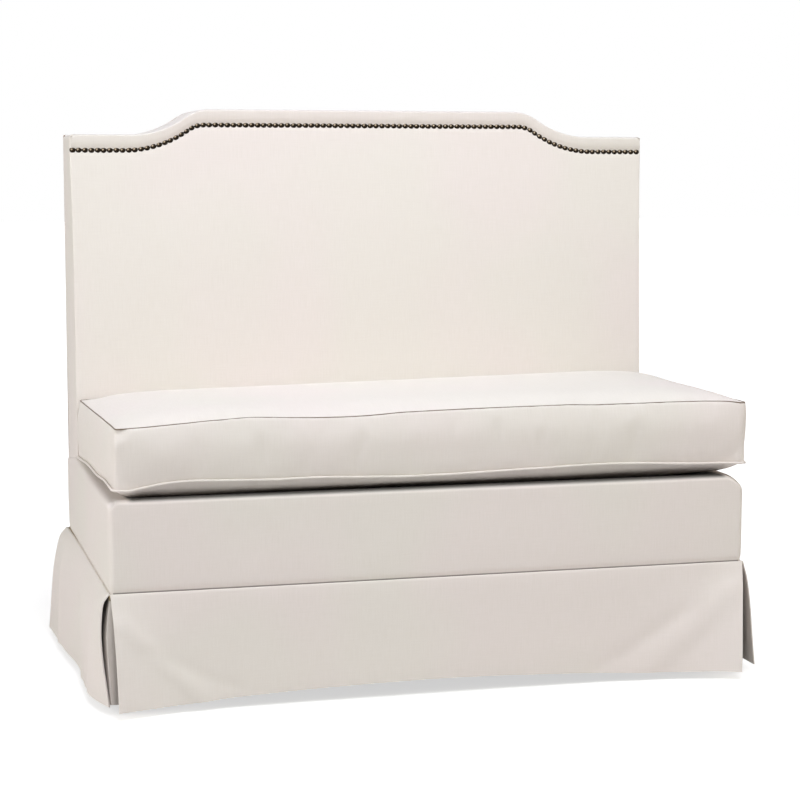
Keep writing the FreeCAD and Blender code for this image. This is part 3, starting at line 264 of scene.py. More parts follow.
def cloth_material(name, turned=0, shaded=0.0):
    """The bench's cloth; turned, in degrees, cuts it on the bias, shaded darkens it all with painted groove
    shadow, and a point attribute "shade" mixes in near-black painted shadow.
    """
    material, tree, shader = new_material(name)
    pattern = new_node(tree, "UVMap")
    pattern.uv_map = "UVMap"
    mapping = new_node(tree, "Mapping")
    feed(mapping, "Rotation", (0, 0, math.radians(turned)))
    feed(mapping, "Vector", pattern.outputs[0])
    woven = new_node(tree, "Group")
    woven.node_tree = weave
    feed(woven, "Thread", THREAD)
    feed(woven, "Slub", SLUB)
    feed(woven, "Vector", mapping.outputs[0])
    body = new_node(tree, "TexCoord")
    broad = stretched_noise(tree, body.outputs["Object"], (3.1, 3.1, 3.1), 1)
    ground = colour_mix(tree, spread(tree, broad, 0.42, 0.62), CLOTH_COLOUR, CLOTH_PINK)
    threads = spread(tree, woven.outputs["Tone"], 0.36, 0.62, 0.16, 0.0)
    shaded_threads = colour_mix(tree, threads, ground, CLOTH_DEEP)
    hollows = spread(tree, woven.outputs["Height"], 0.3, 1.1, 0.16, 0.0)
    coloured = colour_mix(tree, hollows, shaded_threads, CLOTH_DEEP)
    # Painted shade: a dark brown groove shadow over the whole material by its share, then near black where
    # the point attribute "shade" says.
    dark = new_node(tree, "Attribute")
    dark.attribute_name = "shade"
    coloured = colour_mix(tree, shaded, coloured, GROOVE_PAINTED_SHADE)
    coloured = colour_mix(tree, dark.outputs["Fac"], coloured, PAINTED_SHADOW_COLOUR)
    feed(shader, "Base Color", coloured)
    feed(shader, "Roughness", spread(tree, woven.outputs["Height"], 0.3, 1.3, 0.95, 0.82))
    feed(shader, "Specular IOR Level", 0.18)
    feed(shader, "Sheen Weight", 0.12)
    feed(shader, "Sheen Roughness", 0.5)
    bumped(shader, woven.outputs["Height"], BUMP_STRENGTH, BUMP_HEIGHT)
    return material


cloth = cloth_material("off_white_weave")
bias_cloth = cloth_material("off_white_weave_on_the_bias", 45)

# Padded back: foam on plywood under tight cloth, which rolls over the swept top and round both upright
# edges. The nails draw it down along a line below the top.
DECK_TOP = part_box("deck_cover")[1].z
SEAT_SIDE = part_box("deck_cover")[1].x
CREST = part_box("inside_back_cover")[1].z
SHOULDER = CREST - 0.052
RAISE_FROM = DECK_TOP + 0.25
CREST_FLAT = 0.650
SWEEP = 0.165
SWEEP_SHIFT = 0.36
HOLLOW_SHARE = 0.68
BACK_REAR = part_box("inside_back_cover")[1].y
FACE_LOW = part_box("inside_back_cover")[0].y
LEAN = 0.0345
NAIL_INSET = 0.0315
EDGE_ROUND = 0.003
TOP_END_ROUND = 0.008
SIDE_SOFT = 0.06
SIDE_DRAWN_IN = 0.006
SIDE_RIPPLE = 0.0011
BACK_LOW = DECK_TOP - 0.03


def crest_height(x, inset=0.0):
    """Height of the back's top across the bench, or of a line an inset inside it."""
    away = abs(x) - SWEEP_SHIFT * inset
    rise = CREST - SHOULDER
    radius = (SWEEP ** 2 + rise ** 2) / (2 * rise)
    sweep_end = CREST_FLAT / 2 + SWEEP
    hollow = HOLLOW_SHARE * radius + inset
    rounded = (1 - HOLLOW_SHARE) * radius - inset
    middle = sweep_end - hollow * SWEEP / radius
    if away <= CREST_FLAT / 2:
        return CREST - inset
    if away >= sweep_end:
        return SHOULDER - inset
    if away <= middle:
        return CREST - inset - rounded + math.sqrt(rounded ** 2 - (away - CREST_FLAT / 2) ** 2)
    return SHOULDER - inset + hollow - math.sqrt(hollow ** 2 - (sweep_end - away) ** 2)


def back_face(z):
    """How far back the leaning face is at a height."""
    return FACE_LOW + LEAN * (z - DECK_TOP) / (CREST - DECK_TOP)


def smooth_step(low, high, value):
    share = min(max((value - low) / (high - low), 0), 1)
    return share * share * (3 - 2 * share)


def new_grid(name, columns, rows, size):
    """A flat square grid about the origin, the only piece selected."""
    bpy.ops.object.select_all(action="DESELECT")
    bpy.ops.mesh.primitive_grid_add(x_subdivisions=columns, y_subdivisions=rows, size=size)
    bpy.context.active_object.name = name
    return bpy.context.active_object


def block_of_cells(name, low, high, cells):
    """A closed block of even cells: a grid that is extruded downwards layer by layer."""
    sides = high - low
    block = new_grid(name, cells[0], cells[1], 1)
    block.scale = (sides.x, sides.y, 1)
    block.location = ((low.x + high.x) / 2, (low.y + high.y) / 2, high.z)
    bpy.ops.object.transform_apply(location=True, rotation=True, scale=True)
    bpy.ops.object.mode_set(mode="EDIT")
    bpy.ops.mesh.select_all(action="SELECT")
    step = (0, 0, (low.z - high.z) / cells[2])
    for layer in range(cells[2]):
        bpy.ops.mesh.extrude_region_move(TRANSFORM_OT_translate={"value": step})
    bpy.ops.mesh.select_all(action="SELECT")
    bpy.ops.mesh.normals_make_consistent(inside=False)
    bpy.ops.object.mode_set(mode="OBJECT")
    return block


def pick(piece):
    """Selects one piece alone and makes it the active one."""
    bpy.ops.object.select_all(action="DESELECT")
    bpy.context.view_layer.objects.active = piece
    piece.select_set(True)


def open_alone(piece, kind):
    """Opens one piece in edit mode with nothing of it selected."""
    pick(piece)
    bpy.ops.object.mode_set(mode="EDIT")
    bpy.ops.mesh.select_mode(type=kind)
    bpy.ops.mesh.select_all(action="DESELECT")
    return bmesh.from_edit_mesh(piece.data)


def round_over(piece, wanted, offset, segments):
    """Bevels the edges whose two ends pass a test."""
    work = open_alone(piece, "EDGE")
    for edge in work.edges:
        edge.select_set(wanted(edge.verts[0].co, edge.verts[1].co))
    bmesh.update_edit_mesh(piece.data)
    bpy.ops.mesh.bevel(offset=offset, segments=segments, affect="EDGES")
    bpy.ops.object.mode_set(mode="OBJECT")


def subdivided(piece, levels, kind="CATMULL_CLARK"):
    """Applies a subdivision surface, with the same levels shown and rendered."""
    pick(piece)
    modifier = piece.modifiers.new("subdivision", "SUBSURF")
    modifier.levels = modifier.render_levels = levels
    modifier.subdivision_type = kind
    bpy.ops.object.modifier_apply(modifier=modifier.name)


def moved(piece, rule):
    """Moves every point of a piece by a rule of its place and normal."""
    mesh = piece.data
    mesh.update()
    places = [rule(point.co.copy(), point.normal.copy()) for point in mesh.vertices]
    for point, place_now in zip(mesh.vertices, places):
        point.co = place_now
    mesh.update()


def lay_pattern(piece):
    """Gives a piece its flat pattern in metres, projected along the nearest axis, and smooths it."""
    open_alone(piece, "FACE")
    bpy.ops.mesh.select_all(action="SELECT")
    bpy.ops.uv.cube_project(cube_size=1, correct_aspect=False, clip_to_bounds=False, scale_to_bounds=False)
    bpy.ops.object.mode_set(mode="OBJECT")
    bpy.ops.object.shade_smooth()


def lay_shade(piece, rule):
    """Gives a piece a point attribute of painted shadow: the share of near black mixed into its cloth at each
    point.
    """
    layer = piece.data.attributes.new("shade", "FLOAT", "POINT")
    for number, point in enumerate(piece.data.vertices):
        layer.data[number].value = rule(point.co)


def soft_noise(place_here, size, seed=0.0):
    """Smooth noise from about -1 to 1 whose waves are as long as size."""
    return noise.noise(place_here / size + Vector((seed, seed * 0.7, -seed)))


NAIL_DENT = 0.0022
NAIL_DENT_WIDTH = 0.006
NAIL_LINE_TILT = math.atan(0.35)
BAND_SWELL = 0.0078
BAND_WIDTH = 0.032
SIDE_SWELL = 0.003
SWELL_WIDTH = 0.04
SWELL_FULL = 0.45
FACE_CROWN = 0.0025
CROWN_DROP = 0.3
FACE_WAVE = 0.0009
BEHIND_CUSHION = (0.46, 0.52)


def face_relief(x, z):
    """How far the back's cloth stands out from its flat face."""
    over_line = (z - crest_height(x, NAIL_INSET)) * math.cos(NAIL_LINE_TILT)
    dent = NAIL_DENT * math.exp(-(over_line / NAIL_DENT_WIDTH) ** 2)
    side_share = min(abs(x) / SEAT_SIDE, 1)
    low_share = min(max((crest_height(x, NAIL_INSET) - z) / CROWN_DROP, 0), 1)
    crown = FACE_CROWN * (1 - side_share ** 6) * smooth_step(0, 1, low_share)
    here = Vector((x, 0, z))
    wave = FACE_WAVE * (soft_noise(here, 0.24, 3.1) + 0.5 * soft_noise(here, 0.11, 8.4))
    swell = BAND_SWELL * (1 - (1 - min(max(over_line / BAND_WIDTH, 0), 1)) ** 2)
    free = smooth_step(*BEHIND_CUSHION, z)
    return free * (crown + wave * smooth_step(0, 0.25, low_share)) - dent + swell


def swelled(x, z):
    """A place across the back, whose right side swells a little."""
    across = smooth_step(SEAT_SIDE - SWELL_WIDTH, SEAT_SIDE, x)
    return x + SIDE_SWELL * across * smooth_step(BACK_LOW, SWELL_FULL, z)


back = block_of_cells("back_upholstery", Vector((-SEAT_SIDE, FACE_LOW, BACK_LOW)),
                      Vector((SEAT_SIDE, BACK_REAR, SHOULDER)), (62, 7, 34))
CLOSE = 1e-5


def on_front_edge(first, second):
    """Whether an edge runs along the top or an upright side of the front."""
    in_front = all(abs(spot.y - FACE_LOW) < CLOSE for spot in (first, second))
    at_top = all(abs(spot.z - SHOULDER) < CLOSE for spot in (first, second))
    at_end = all(abs(abs(spot.x) - SEAT_SIDE) < CLOSE for spot in (first, second))
    return in_front and (at_top or at_end)


def on_top_end(first, second):
    """Whether an edge runs from front to rear along the end of the top."""
    return all(abs(abs(spot.x) - SEAT_SIDE) < CLOSE and abs(spot.z - SHOULDER) < CLOSE
               for spot in (first, second))


round_over(back, on_front_edge, EDGE_ROUND, 4)
round_over(back, on_top_end, TOP_END_ROUND, 3)
subdivided(back, 2)


def shape_back(spot, normal):
    """Raises the swept crest, leans the face, and lets the cloth wave and dip on it."""
    raised = smooth_step(RAISE_FROM, SHOULDER, spot.z)
    z = spot.z + raised * (crest_height(spot.x) - SHOULDER)
    depth_share = (BACK_REAR - spot.y) / (BACK_REAR - FACE_LOW)
    y = BACK_REAR - depth_share * (BACK_REAR - back_face(z))
    facing = max(0, -normal.y) ** 2
    side = max(0, abs(normal.x)) ** 4
    here = Vector((spot.x, y, z))
    ripple = SIDE_RIPPLE * (0.9 + soft_noise(here, 0.16, 5.2)) * side
    drawn_in = SIDE_DRAWN_IN * side * max(0, 1 - (spot.y - FACE_LOW) / SIDE_SOFT) ** 2 * (1 - raised)
    return Vector((swelled(spot.x, z) + math.copysign(1, spot.x) * (ripple - drawn_in),
                   y - facing * face_relief(spot.x, z), z))


moved(back, shape_back)
lay_pattern(back)
back.data.materials.append(cloth)
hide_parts("inside_back_cover", "back_foam", "back_edge_padding")
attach(back, "root")

# Nailhead trim: domed nails of antique bronze, hammered by hand, in one close row along the nail line.
NAIL_RADIUS = 0.0067
NAIL_DOME = 0.0034
NAIL_PITCH = 0.0126
HIGHLIGHT_BRONZE = (0.55, 0.44, 0.32, 1)
NAIL_END = 0.0045
NAIL_STRAY = 0.0003
NAIL_TILT = 0.07
NAIL_SUNK = 0.0002
DOME_CUT = 0.2
DOME_RIM = 0.22
HAMMERED = 0.07
# The way from a nail's middle to the painted highlight on its dome: right, up and out.
HIGHLIGHT_TOWARDS = Vector((-0.3, 0.2, 0.93))
nail_dice = random.Random(11)


def nail_places():
    """Even places along the nail line, as their x."""
    fine = 0.0002
    end = SEAT_SIDE - NAIL_END
    count = int(2 * end / fine)
    xs = [-end + 2 * end * number / count for number in range(count + 1)]
    lengths = [0.0]
    for x, next_x in zip(xs, xs[1:]):
        rise = crest_height(next_x, NAIL_INSET) - crest_height(x, NAIL_INSET)
        lengths.append(lengths[-1] + math.hypot(next_x - x, rise))
    nails = round(lengths[-1] / NAIL_PITCH)
    found, at = [], 0
    for number in range(nails + 1):
        wanted = lengths[-1] * number / nails
        while at < count and lengths[at] < wanted - fine / 2:
            at += 1
        found.append(xs[at])
    return found


bpy.ops.object.select_all(action="DESELECT")
bpy.ops.mesh.primitive_uv_sphere_add(segments=14, ring_count=10, radius=1)
first_nail = bpy.context.active_object
bpy.ops.object.mode_set(mode="EDIT")
bpy.ops.mesh.select_all(action="SELECT")
bpy.ops.mesh.bisect(plane_co=(0, 0, DOME_CUT), plane_no=(0, 0, 1), clear_inner=True, use_fill=False)
bpy.ops.mesh.select_all(action="DESELECT")
rim_work = bmesh.from_edit_mesh(first_nail.data)
for edge in rim_work.edges:
    edge.select_set(edge.is_boundary)
bmesh.update_edit_mesh(first_nail.data)
bpy.ops.mesh.extrude_region_move(TRANSFORM_OT_translate={"value": (0, 0, -DOME_RIM)})
bpy.ops.mesh.edge_face_add()
bpy.ops.object.mode_set(mode="OBJECT")
nail_copies = []
for x in nail_places():
    z = crest_height(x, NAIL_INSET)
    copy = first_nail.copy()
    copy.data = first_nail.data.copy()
    spin = nail_dice.uniform(0, math.tau)
    tilt = nail_dice.uniform(-NAIL_TILT, NAIL_TILT)
    seat_y = back_face(z) - face_relief(x, z) + NAIL_SUNK
    stray_x, stray_z = [nail_dice.uniform(-NAIL_STRAY, NAIL_STRAY) for _ in range(2)]
    # Painted highlight: a small bright spot on each dome, on the same side of every nail whatever its spin.
    bright = copy.data.attributes.new("crown", "FLOAT", "POINT")
    for number, point in enumerate(copy.data.vertices):
        spot = point.co
        right = spot.x * math.cos(spin) - spot.y * math.sin(spin)
        up = spot.x * math.sin(spin) + spot.y * math.cos(spin)
        facing = Vector((right, up, spot.z)).dot(HIGHLIGHT_TOWARDS)
        bright.data[number].value = smooth_step(0.94, 0.99, facing)
        hammered = 1 + HAMMERED * noise.noise(spot * 2.3 + Vector((x * 90, spin, tilt * 40)))
        across = Vector((spot.x, spot.y, 0)) * NAIL_RADIUS * hammered
        turned_x = across.x * math.cos(spin) - across.y * math.sin(spin)
        turned_z = across.x * math.sin(spin) + across.y * math.cos(spin)
        height = spot.z * NAIL_DOME * hammered + turned_x * tilt
        point.co = (x + turned_x + stray_x, seat_y - height, z + turned_z + stray_z)
    bpy.context.collection.objects.link(copy)
    nail_copies.append(copy)
bpy.data.objects.remove(first_nail)
bpy.ops.object.select_all(action="DESELECT")
for copy in nail_copies:
    copy.select_set(True)
bpy.context.view_layer.objects.active = nail_copies[0]
bpy.ops.object.join()
nails = bpy.context.active_object
nails.name = "hammered_nails"


def face_out(piece):
    """Turns a piece's faces outwards and smooths all but its sharp edges."""
    open_alone(piece, "FACE")
    bpy.ops.mesh.select_all(action="SELECT")
    bpy.ops.mesh.normals_make_consistent(inside=False)
    bpy.ops.object.mode_set(mode="OBJECT")
    bpy.ops.object.shade_smooth_by_angle(angle=SMOOTH_BELOW)


SMOOTH_BELOW = math.radians(50)
face_out(nails)

mottle, mottle_in, mottle_out = group_tree(
    "mottle", [("Vector", "NodeSocketVector"), ("Size", "NodeSocketFloat")],
    [("Coarse", "NodeSocketFloat"), ("Fine", "NodeSocketFloat")])
for label, relative in (("Coarse", 1), ("Fine", 6)):
    speck = new_node(mottle, "TexNoise")
    feed(speck, "Detail", 3)
    feed(speck, "Vector", mottle_in.outputs["Vector"])
    rate = calculation(mottle, "DIVIDE", relative, mottle_in.outputs["Size"])
    feed(speck, "Scale", rate)
    feed(mottle_out, label, speck.outputs["Fac"])


def mottled(tree, size):
    """A mottle group on a material's own coordinates."""
    coordinates = new_node(tree, "TexCoord")
    made = new_node(tree, "Group")
    made.node_tree = mottle
    feed(made, "Size", size)
    feed(made, "Vector", coordinates.outputs["Object"])
    return made


def solid_material(name, colour, deep, size, roughness, metallic=0.0, bump_height=0.0002, strength=0.3):
    """A plain finish with two tones mottled at a size, uneven gloss and a fine bump."""
    material, tree, shader = new_material(name)
    spots = mottled(tree, size)
    share = spread(tree, spots.outputs["Coarse"], 0.38, 0.64)
    feed(shader, "Base Color", colour_mix(tree, share, colour, deep))
    gloss = spread(tree, spots.outputs["Fine"], 0.3, 0.7, roughness[0], roughness[1])
    feed(shader, "Roughness", gloss)
    feed(shader, "Metallic", metallic)
    bumped(shader, spots.outputs["Fine"], strength, bump_height)
    return material


nail_bronze = solid_material("antique_bronze", (0.009, 0.006, 0.003, 1), (0.02, 0.013, 0.007, 1), 0.004,
                             (0.25, 0.45), metallic=0.9, bump_height=0.0004, strength=0.6)
nail_tree = nail_bronze.node_tree
nail_shader = nail_tree.nodes["Principled BSDF"]
# Painted highlight: the "crown" attribute mixes the bright bronze into the dark patina.
crown = new_node(nail_tree, "Attribute")
crown.attribute_name = "crown"
patina = nail_shader.inputs["Base Color"].links[0].from_socket
highlighted = colour_mix(nail_tree, crown.outputs["Fac"], patina, HIGHLIGHT_BRONZE)
feed(nail_shader, "Base Color", highlighted)
nails.data.materials.append(nail_bronze)
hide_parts("nailhead_trim")
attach(nails, "root")

# Seat deck: foam over springs and padded rails under one cover, boxed at its front corners, with a rolled
# edge along the front and the sides; inside it the cloth is painted near black as shadow under the cushion.
# Its sides run back under the back.
DECK_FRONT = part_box("deck_cover")[0].y
DECK_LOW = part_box("deck_cover")[0].z
DECK_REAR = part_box("rail_padding")[1].y
EDGE_ROLL = 0.012
SIDE_ROLL = 0.010
ROLL_WIDTH = 0.10
LEFT_CORNER = 0.014
RIGHT_CORNER = 0.035
CORNER_BEVEL = 0.006
TOP_BEVEL = 0.008
SIDE_ROUND = 0.024
LEFT_ROUND_SHARE = 0.3
TURN_UP = 0.006
BACK_FRONT_LOW = FACE_LOW + 0.01
SEAM_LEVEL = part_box("skirt_front")[1].z
SEAM_LINE = 0.0010
SEAM_SHADE = 0.85
DECK_WAVE = 0.0008
FRONT_BULGE = 0.0045
deck = block_of_cells("deck_upholstery", Vector((-SEAT_SIDE, DECK_FRONT, DECK_LOW)),
                      Vector((SEAT_SIDE, DECK_REAR, DECK_TOP)), (72, 40, 12))


def on_deck_edge(first, second):
    """Whether an edge runs along the deck's top in front."""
    return all(abs(spot.z - DECK_TOP) < CLOSE and abs(spot.y - DECK_FRONT) < CLOSE
               for spot in (first, second))


def on_deck_corner(first, second):
    """Whether an edge runs up a front corner of the deck."""
    return all(abs(abs(spot.x) - SEAT_SIDE) < CLOSE and abs(spot.y - DECK_FRONT) < CLOSE
               for spot in (first, second))


round_over(deck, on_deck_corner, CORNER_BEVEL, 3)
round_over(deck, on_deck_edge, TOP_BEVEL, 4)
subdivided(deck, 2)


def deck_top(x, y):
    """Height of the deck's cloth: level, with its rolled edge along the front and the sides."""
    from_side = SEAT_SIDE - abs(x)
    from_front = y - DECK_FRONT
    corner = RIGHT_CORNER if x > 0 else LEFT_CORNER
    front = EDGE_ROLL * (1 - smooth_step(0.015, ROLL_WIDTH, from_front)) * smooth_step(0, corner, from_side)
    side = SIDE_ROLL * smooth_step(-0.01, corner, from_front) + TURN_UP * smooth_step(-0.1, BACK_FRONT_LOW, y)
    side *= (1 - smooth_step(0.02, ROLL_WIDTH, from_side)) * (1 - smooth_step(BACK_FRONT_LOW, DECK_REAR, y))
    return DECK_TOP + max(front, side)


def shape_deck(spot, normal):
    """Waves in the cloth, its rolled edge, soft sides above, and a front that swells over its seam."""
    over_seam = spot.z - SEAM_LEVEL
    spot.z = SEAM_LEVEL + over_seam * (0.25 + 0.75 * smooth_step(0, 0.03, abs(over_seam)))
    here = spot.copy()
    upright = 1 - abs(normal.z)
    wave = DECK_WAVE * (soft_noise(here, 0.2, 1.7) + 0.5 * soft_noise(here, 0.07, 6.3))
    spot = spot + normal * wave * upright
    swell = FRONT_BULGE * (0.7 * smooth_step(SEAM_LEVEL + 0.001, SEAM_LEVEL + 0.013, here.z)
                           + 0.3 * smooth_step(SEAM_LEVEL, SEAM_LEVEL + 0.06, here.z))
    spot.y -= swell * max(0, -normal.y) ** 2
    spot.x += math.copysign(0.8 * swell * abs(normal.x) ** 2, here.x)
    if here.y < BACK_FRONT_LOW:
        soft = SIDE_ROUND if here.x > 0 else LEFT_ROUND_SHARE * SIDE_ROUND
        over_x = max(0, abs(here.x) - SEAT_SIDE + soft) / soft
        over_z = max(0, here.z - DECK_TOP + soft) / soft
        near = 1 - smooth_step(BACK_FRONT_LOW - 0.06, BACK_FRONT_LOW, here.y)
        drawn_in = soft * over_x * (1 - math.sqrt(1 - min(over_z, 1) ** 2 / 2))
        spot.x -= math.copysign(near * drawn_in, here.x)
        spot.z += near * soft * over_z * (math.sqrt(1 - min(over_x, 1) ** 2 / 2) - 1)
    near_top = smooth_step(DECK_TOP - 0.06, DECK_TOP - 0.004, here.z)
    spot.z += (deck_top(here.x, here.y) - DECK_TOP) * near_top
    return spot


def deck_shade(spot):
    """Painted shadow: near black inside the rolled edge, a quarter as dark near the sides, and a thin painted
    shadow line above the front's seam.
    """
    inside = smooth_step(-0.0065, 0.0015, spot.z - deck_top(spot.x, spot.y))
    inside *= 0.25 + 0.75 * smooth_step(0.030, 0.042, SEAT_SIDE - abs(spot.x))
    if spot.y > DECK_FRONT + 0.004 or abs(spot.x) > SEAT_SIDE - 0.004:
        return inside
    return inside + SEAM_SHADE * math.exp(-((spot.z - SEAM_LEVEL - 0.0016) / SEAM_LINE) ** 2)


moved(deck, shape_deck)
lay_shade(deck, deck_shade)
lay_pattern(deck)
deck.data.materials.append(cloth)
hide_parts("deck_cover", "deck_foam", "rail_padding")
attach(deck, "root")

# Loose seat cushion: a foam core in a fibre wrap. The boxing rolls out under the upper seam and stands
# upright down to the lower one; the bottom rolls in under the front and rests on the deck.
WELT_RADIUS = 0.00275
cushion_low, cushion_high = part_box("cushion_welts")
SEAM_INSET = 2 * WELT_RADIUS
LOW_SEAM = cushion_low.z + WELT_RADIUS
HIGH_SEAM = cushion_high.z - WELT_RADIUS
CUSHION_MIDDLE = (cushion_low + cushion_high) / 2
PANEL_X = (cushion_high.x - cushion_low.x) / 2 - SEAM_INSET
PANEL_Y = (cushion_high.y - cushion_low.y) / 2 - SEAM_INSET
CORNER_ROUND = 0.004
DRAW_IN = 0.003
CROWN = 0.019
# How the seams lie above their level as the cushion rests: along the front by share of the half width, and
# along each side by share of the half depth, front to rear.
HIGH_FRONT = ((-1, -0.0045), (-0.93, -0.0035), (-0.81, 0.0011), (-0.7, 0.0056), (-0.59, 0.0086),
              (-0.4, 0.0046), (-0.25, 0.0048), (-0.1, 0.0097), (0.4, 0.0138), (0.52, 0.0119), (0.8, 0.013),
              (0.94, 0.012), (1, 0.0085))
HIGH_LEFT = ((-1, -0.0045), (-0.3, -0.0065), (0.3, -0.0095), (1, -0.0125))
HIGH_RIGHT = ((-1, 0.0085), (1, 0.010))
LOW_FRONT = ((-1, -0.0016), (-0.97, -0.0030), (-0.93, 0.0008), (-0.86, 0.0073), (-0.77, 0.010),
             (-0.65, 0.0082), (-0.52, 0.0067), (-0.4, 0.0076), (-0.24, 0.0049), (-0.07, 0.0027),
             (0.38, 0.0092), (0.52, 0.0113), (0.66, 0.0101), (0.83, 0.006), (1, 0.0046))
LOW_LEFT = ((-1, -0.0016), (-0.6, 0.001), (-0.2, -0.005), (0.3, -0.005), (1, -0.015))
LOW_RIGHT = ((-1, 0.0046), (1, 0.002))
HIGH_LINES = (HIGH_FRONT, HIGH_LEFT, HIGH_RIGHT)
LOW_LINES = (LOW_FRONT, LOW_LEFT, LOW_RIGHT)
# The belly's height above the deck behind the front seam, by share of the half width.
BELLY = ((-1, 0.0165), (-0.8, 0.017), (-0.5, 0.015), (0, 0.016), (0.4, 0.0175), (0.6, 0.0205), (0.9, 0.0235),
         (1, 0.0235))
SIDE_BELLY = 0.012
BELLY_ROLL = 0.022
BELLY_REACH = 0.15
# The rows of the boxing by share of its height, and how far grid lines beside a seam are moved towards it.
ROWS = (0, 0.012, 0.04, 0.09, 0.17, 0.28, 0.42, 0.56, 0.70, 0.81, 0.90, 0.955, 0.988, 1)
GAPS = ((0, 0), (0.011, 0.002), (0.022, 0.0075), (0.033, 0.017), (0.044, 0.031), (0.055, 0.048),
        (0.075, 0.075))
UPPER_ROLL = 0.026
LOWER_ROLL = 0.012
FRONT_ROLL_OUT = 0.0095
SIDE_ROLL_OUT = 0.0075
REAR_ROLL_OUT = 0.004
ROLL_LEFT_BELOW = 0.3
BOXING_WAVE = 0.0012
CROWN_REACH_X = 0.19
CROWN_REACH_Y = 0.17
BELLY_FADE = 0.08
BELLY_CLEAR = 0.004
DECK_GAP = 0.0006
# Folds in the boxing by its front left corner: start and end as x and drop, width and height.
BOXING_FOLDS = (((-0.572, 0.003), (-0.602, 0.032), 0.006, 0.0045),
                ((-0.600, 0.003), (-0.590, 0.009), 0.009, -0.0040))
MOST_PUFF = 0.005
COVER_FRAMES = 20
TAPE_LOW, TAPE_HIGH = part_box("zip_tape")
TAPE_EDGE = 0.010


def along(points, place_here):
    """The value at a place on a smooth line through (place, value) points."""
    if place_here <= points[0][0]:
        return points[0][1]
    if place_here >= points[-1][0]:
        return points[-1][1]
    after = next(number for number, point in enumerate(points) if place_here < point[0])
    (start, low), (end, high) = points[after - 1], points[after]

    def slope(number):
        first, last = max(number - 1, 0), min(number + 1, len(points) - 1)
        return (points[last][1] - points[first][1]) / (points[last][0] - points[first][0])

    length = end - start
    share = (place_here - start) / length
    rest = 1 - share
    return (low * (1 + 2 * share) * rest ** 2 + high * (3 - 2 * share) * share ** 2
            + length * share * rest * (slope(after - 1) * rest - slope(after) * share))


def seam_height(level, lines, x, y):
    """Height of a seam, or of its panel's level inside it; the waves of each edge die away inwards."""
    front, left, right = lines
    across = min(max((x - CUSHION_MIDDLE.x) / PANEL_X, -1), 1)
    deep = min(max((y - CUSHION_MIDDLE.y) / PANEL_Y, -1), 1)
    left_share, front_share = (1 - across) / 2, (1 - deep) / 2
    left_chord = left[0][1] * front_share + left[-1][1] * (1 - front_share)
    right_chord = right[0][1] * front_share + right[-1][1] * (1 - front_share)
    front_chord = front[0][1] * left_share + front[-1][1] * (1 - left_share)
    wave = (along(front, across) - front_chord) * front_share ** 3
    wave += (along(left, deep) - left_chord) * left_share ** 8
    wave += (along(right, deep) - right_chord) * (1 - left_share) ** 8
    return level + left_chord * left_share + right_chord * (1 - left_share) + wave


def tightened(place_here, half):
    """Moves a grid line towards the nearer edge, so that cells are small beside a seam."""
    gap = half - abs(place_here)
    moved_gap = along(GAPS, gap) if gap < GAPS[-1][0] else gap
    return math.copysign(half - moved_gap, place_here)


def rounded(x, y):
    """A place on the square panel with its corners made round, and the way that is out from there."""
    over_x = max(0, abs(x) - PANEL_X + CORNER_ROUND) / CORNER_ROUND
    over_y = max(0, abs(y) - PANEL_Y + CORNER_ROUND) / CORNER_ROUND
    out_x = over_x * math.sqrt(max(0, 1 - over_y ** 2 / 2))
    out_y = over_y * math.sqrt(max(0, 1 - over_x ** 2 / 2))
    new_x = abs(x) + CORNER_ROUND * (out_x - over_x)
    new_y = abs(y) + CORNER_ROUND * (out_y - over_y)
    return (math.copysign(new_x, x), math.copysign(new_y, y),
            Vector((math.copysign(out_x, x), math.copysign(out_y, y))))


def edge_out(share, across, deep):
    """How far the outline stands out at a share of the height: drawn in at the front, out at the sides."""
    front_part, left_part, right_part = max(0, -deep) ** 12, max(0, -across) ** 20, max(0, across) ** 20
    out = -0.003 * share * front_part * (1 - across ** 8) + (0.009 + 0.0005 * share) * right_part
    out += (0.006 - 0.004 * share + 0.005 * (1 + deep) / 2) * left_part
    return out - DRAW_IN * (1 - across ** 4) * front_part


def boxing_out(drop, rise, x, y):
    """How far the boxing rolls out beyond its seams, at a drop under the upper and a rise over the lower."""
    upper = math.sqrt(1 - (1 - min(drop / UPPER_ROLL, 1)) ** 2)
    lower = math.sqrt(1 - (1 - min(rise / LOWER_ROLL, 1)) ** 2)
    gap_x, gap_y = PANEL_X - abs(x), PANEL_Y - abs(y)
    on_front = gap_y < gap_x
    from_corner = 0.3 + 0.7 * smooth_step(0, 0.045, gap_x if on_front else gap_y)
    most = (FRONT_ROLL_OUT if y < 0 else REAR_ROLL_OUT) if on_front else SIDE_ROLL_OUT
    recede = 1 - (1 - ROLL_LEFT_BELOW) * smooth_step(UPPER_ROLL, 0.1, drop)
    out = most * upper * lower * from_corner * recede
    if on_front and y < 0:
        here = Vector((x, drop))
        for start, end, width, high in BOXING_FOLDS:
            out += high * fold_share(here, Vector(start), Vector(end), width)
        out += BOXING_WAVE * soft_noise(Vector((x, drop * 0.5, 0)), 0.09, 7.7) * min(upper, lower)
    return out


def fold_share(here, start, end, width):
    """One on a fold's line, falling to nought beside it and towards its ends."""
    run = end - start
    at = min(max((here - start).dot(run) / run.length_squared, 0), 1)
    away = (here - start - run * at).length
    return math.exp(-(away / width) ** 2)


def rise_from(edge_distance, reach):
    """A crown's share of its height at a distance inside its seam."""
    share = min(max(edge_distance / reach, 0), 1)
    return math.sqrt(max(0, 1 - (1 - share) ** 2.2))


cushion = block_of_cells("seat_cushion", Vector((-PANEL_X, -PANEL_Y, 0)), Vector((PANEL_X, PANEL_Y, 1)),
                         (110, 46, len(ROWS) - 1))


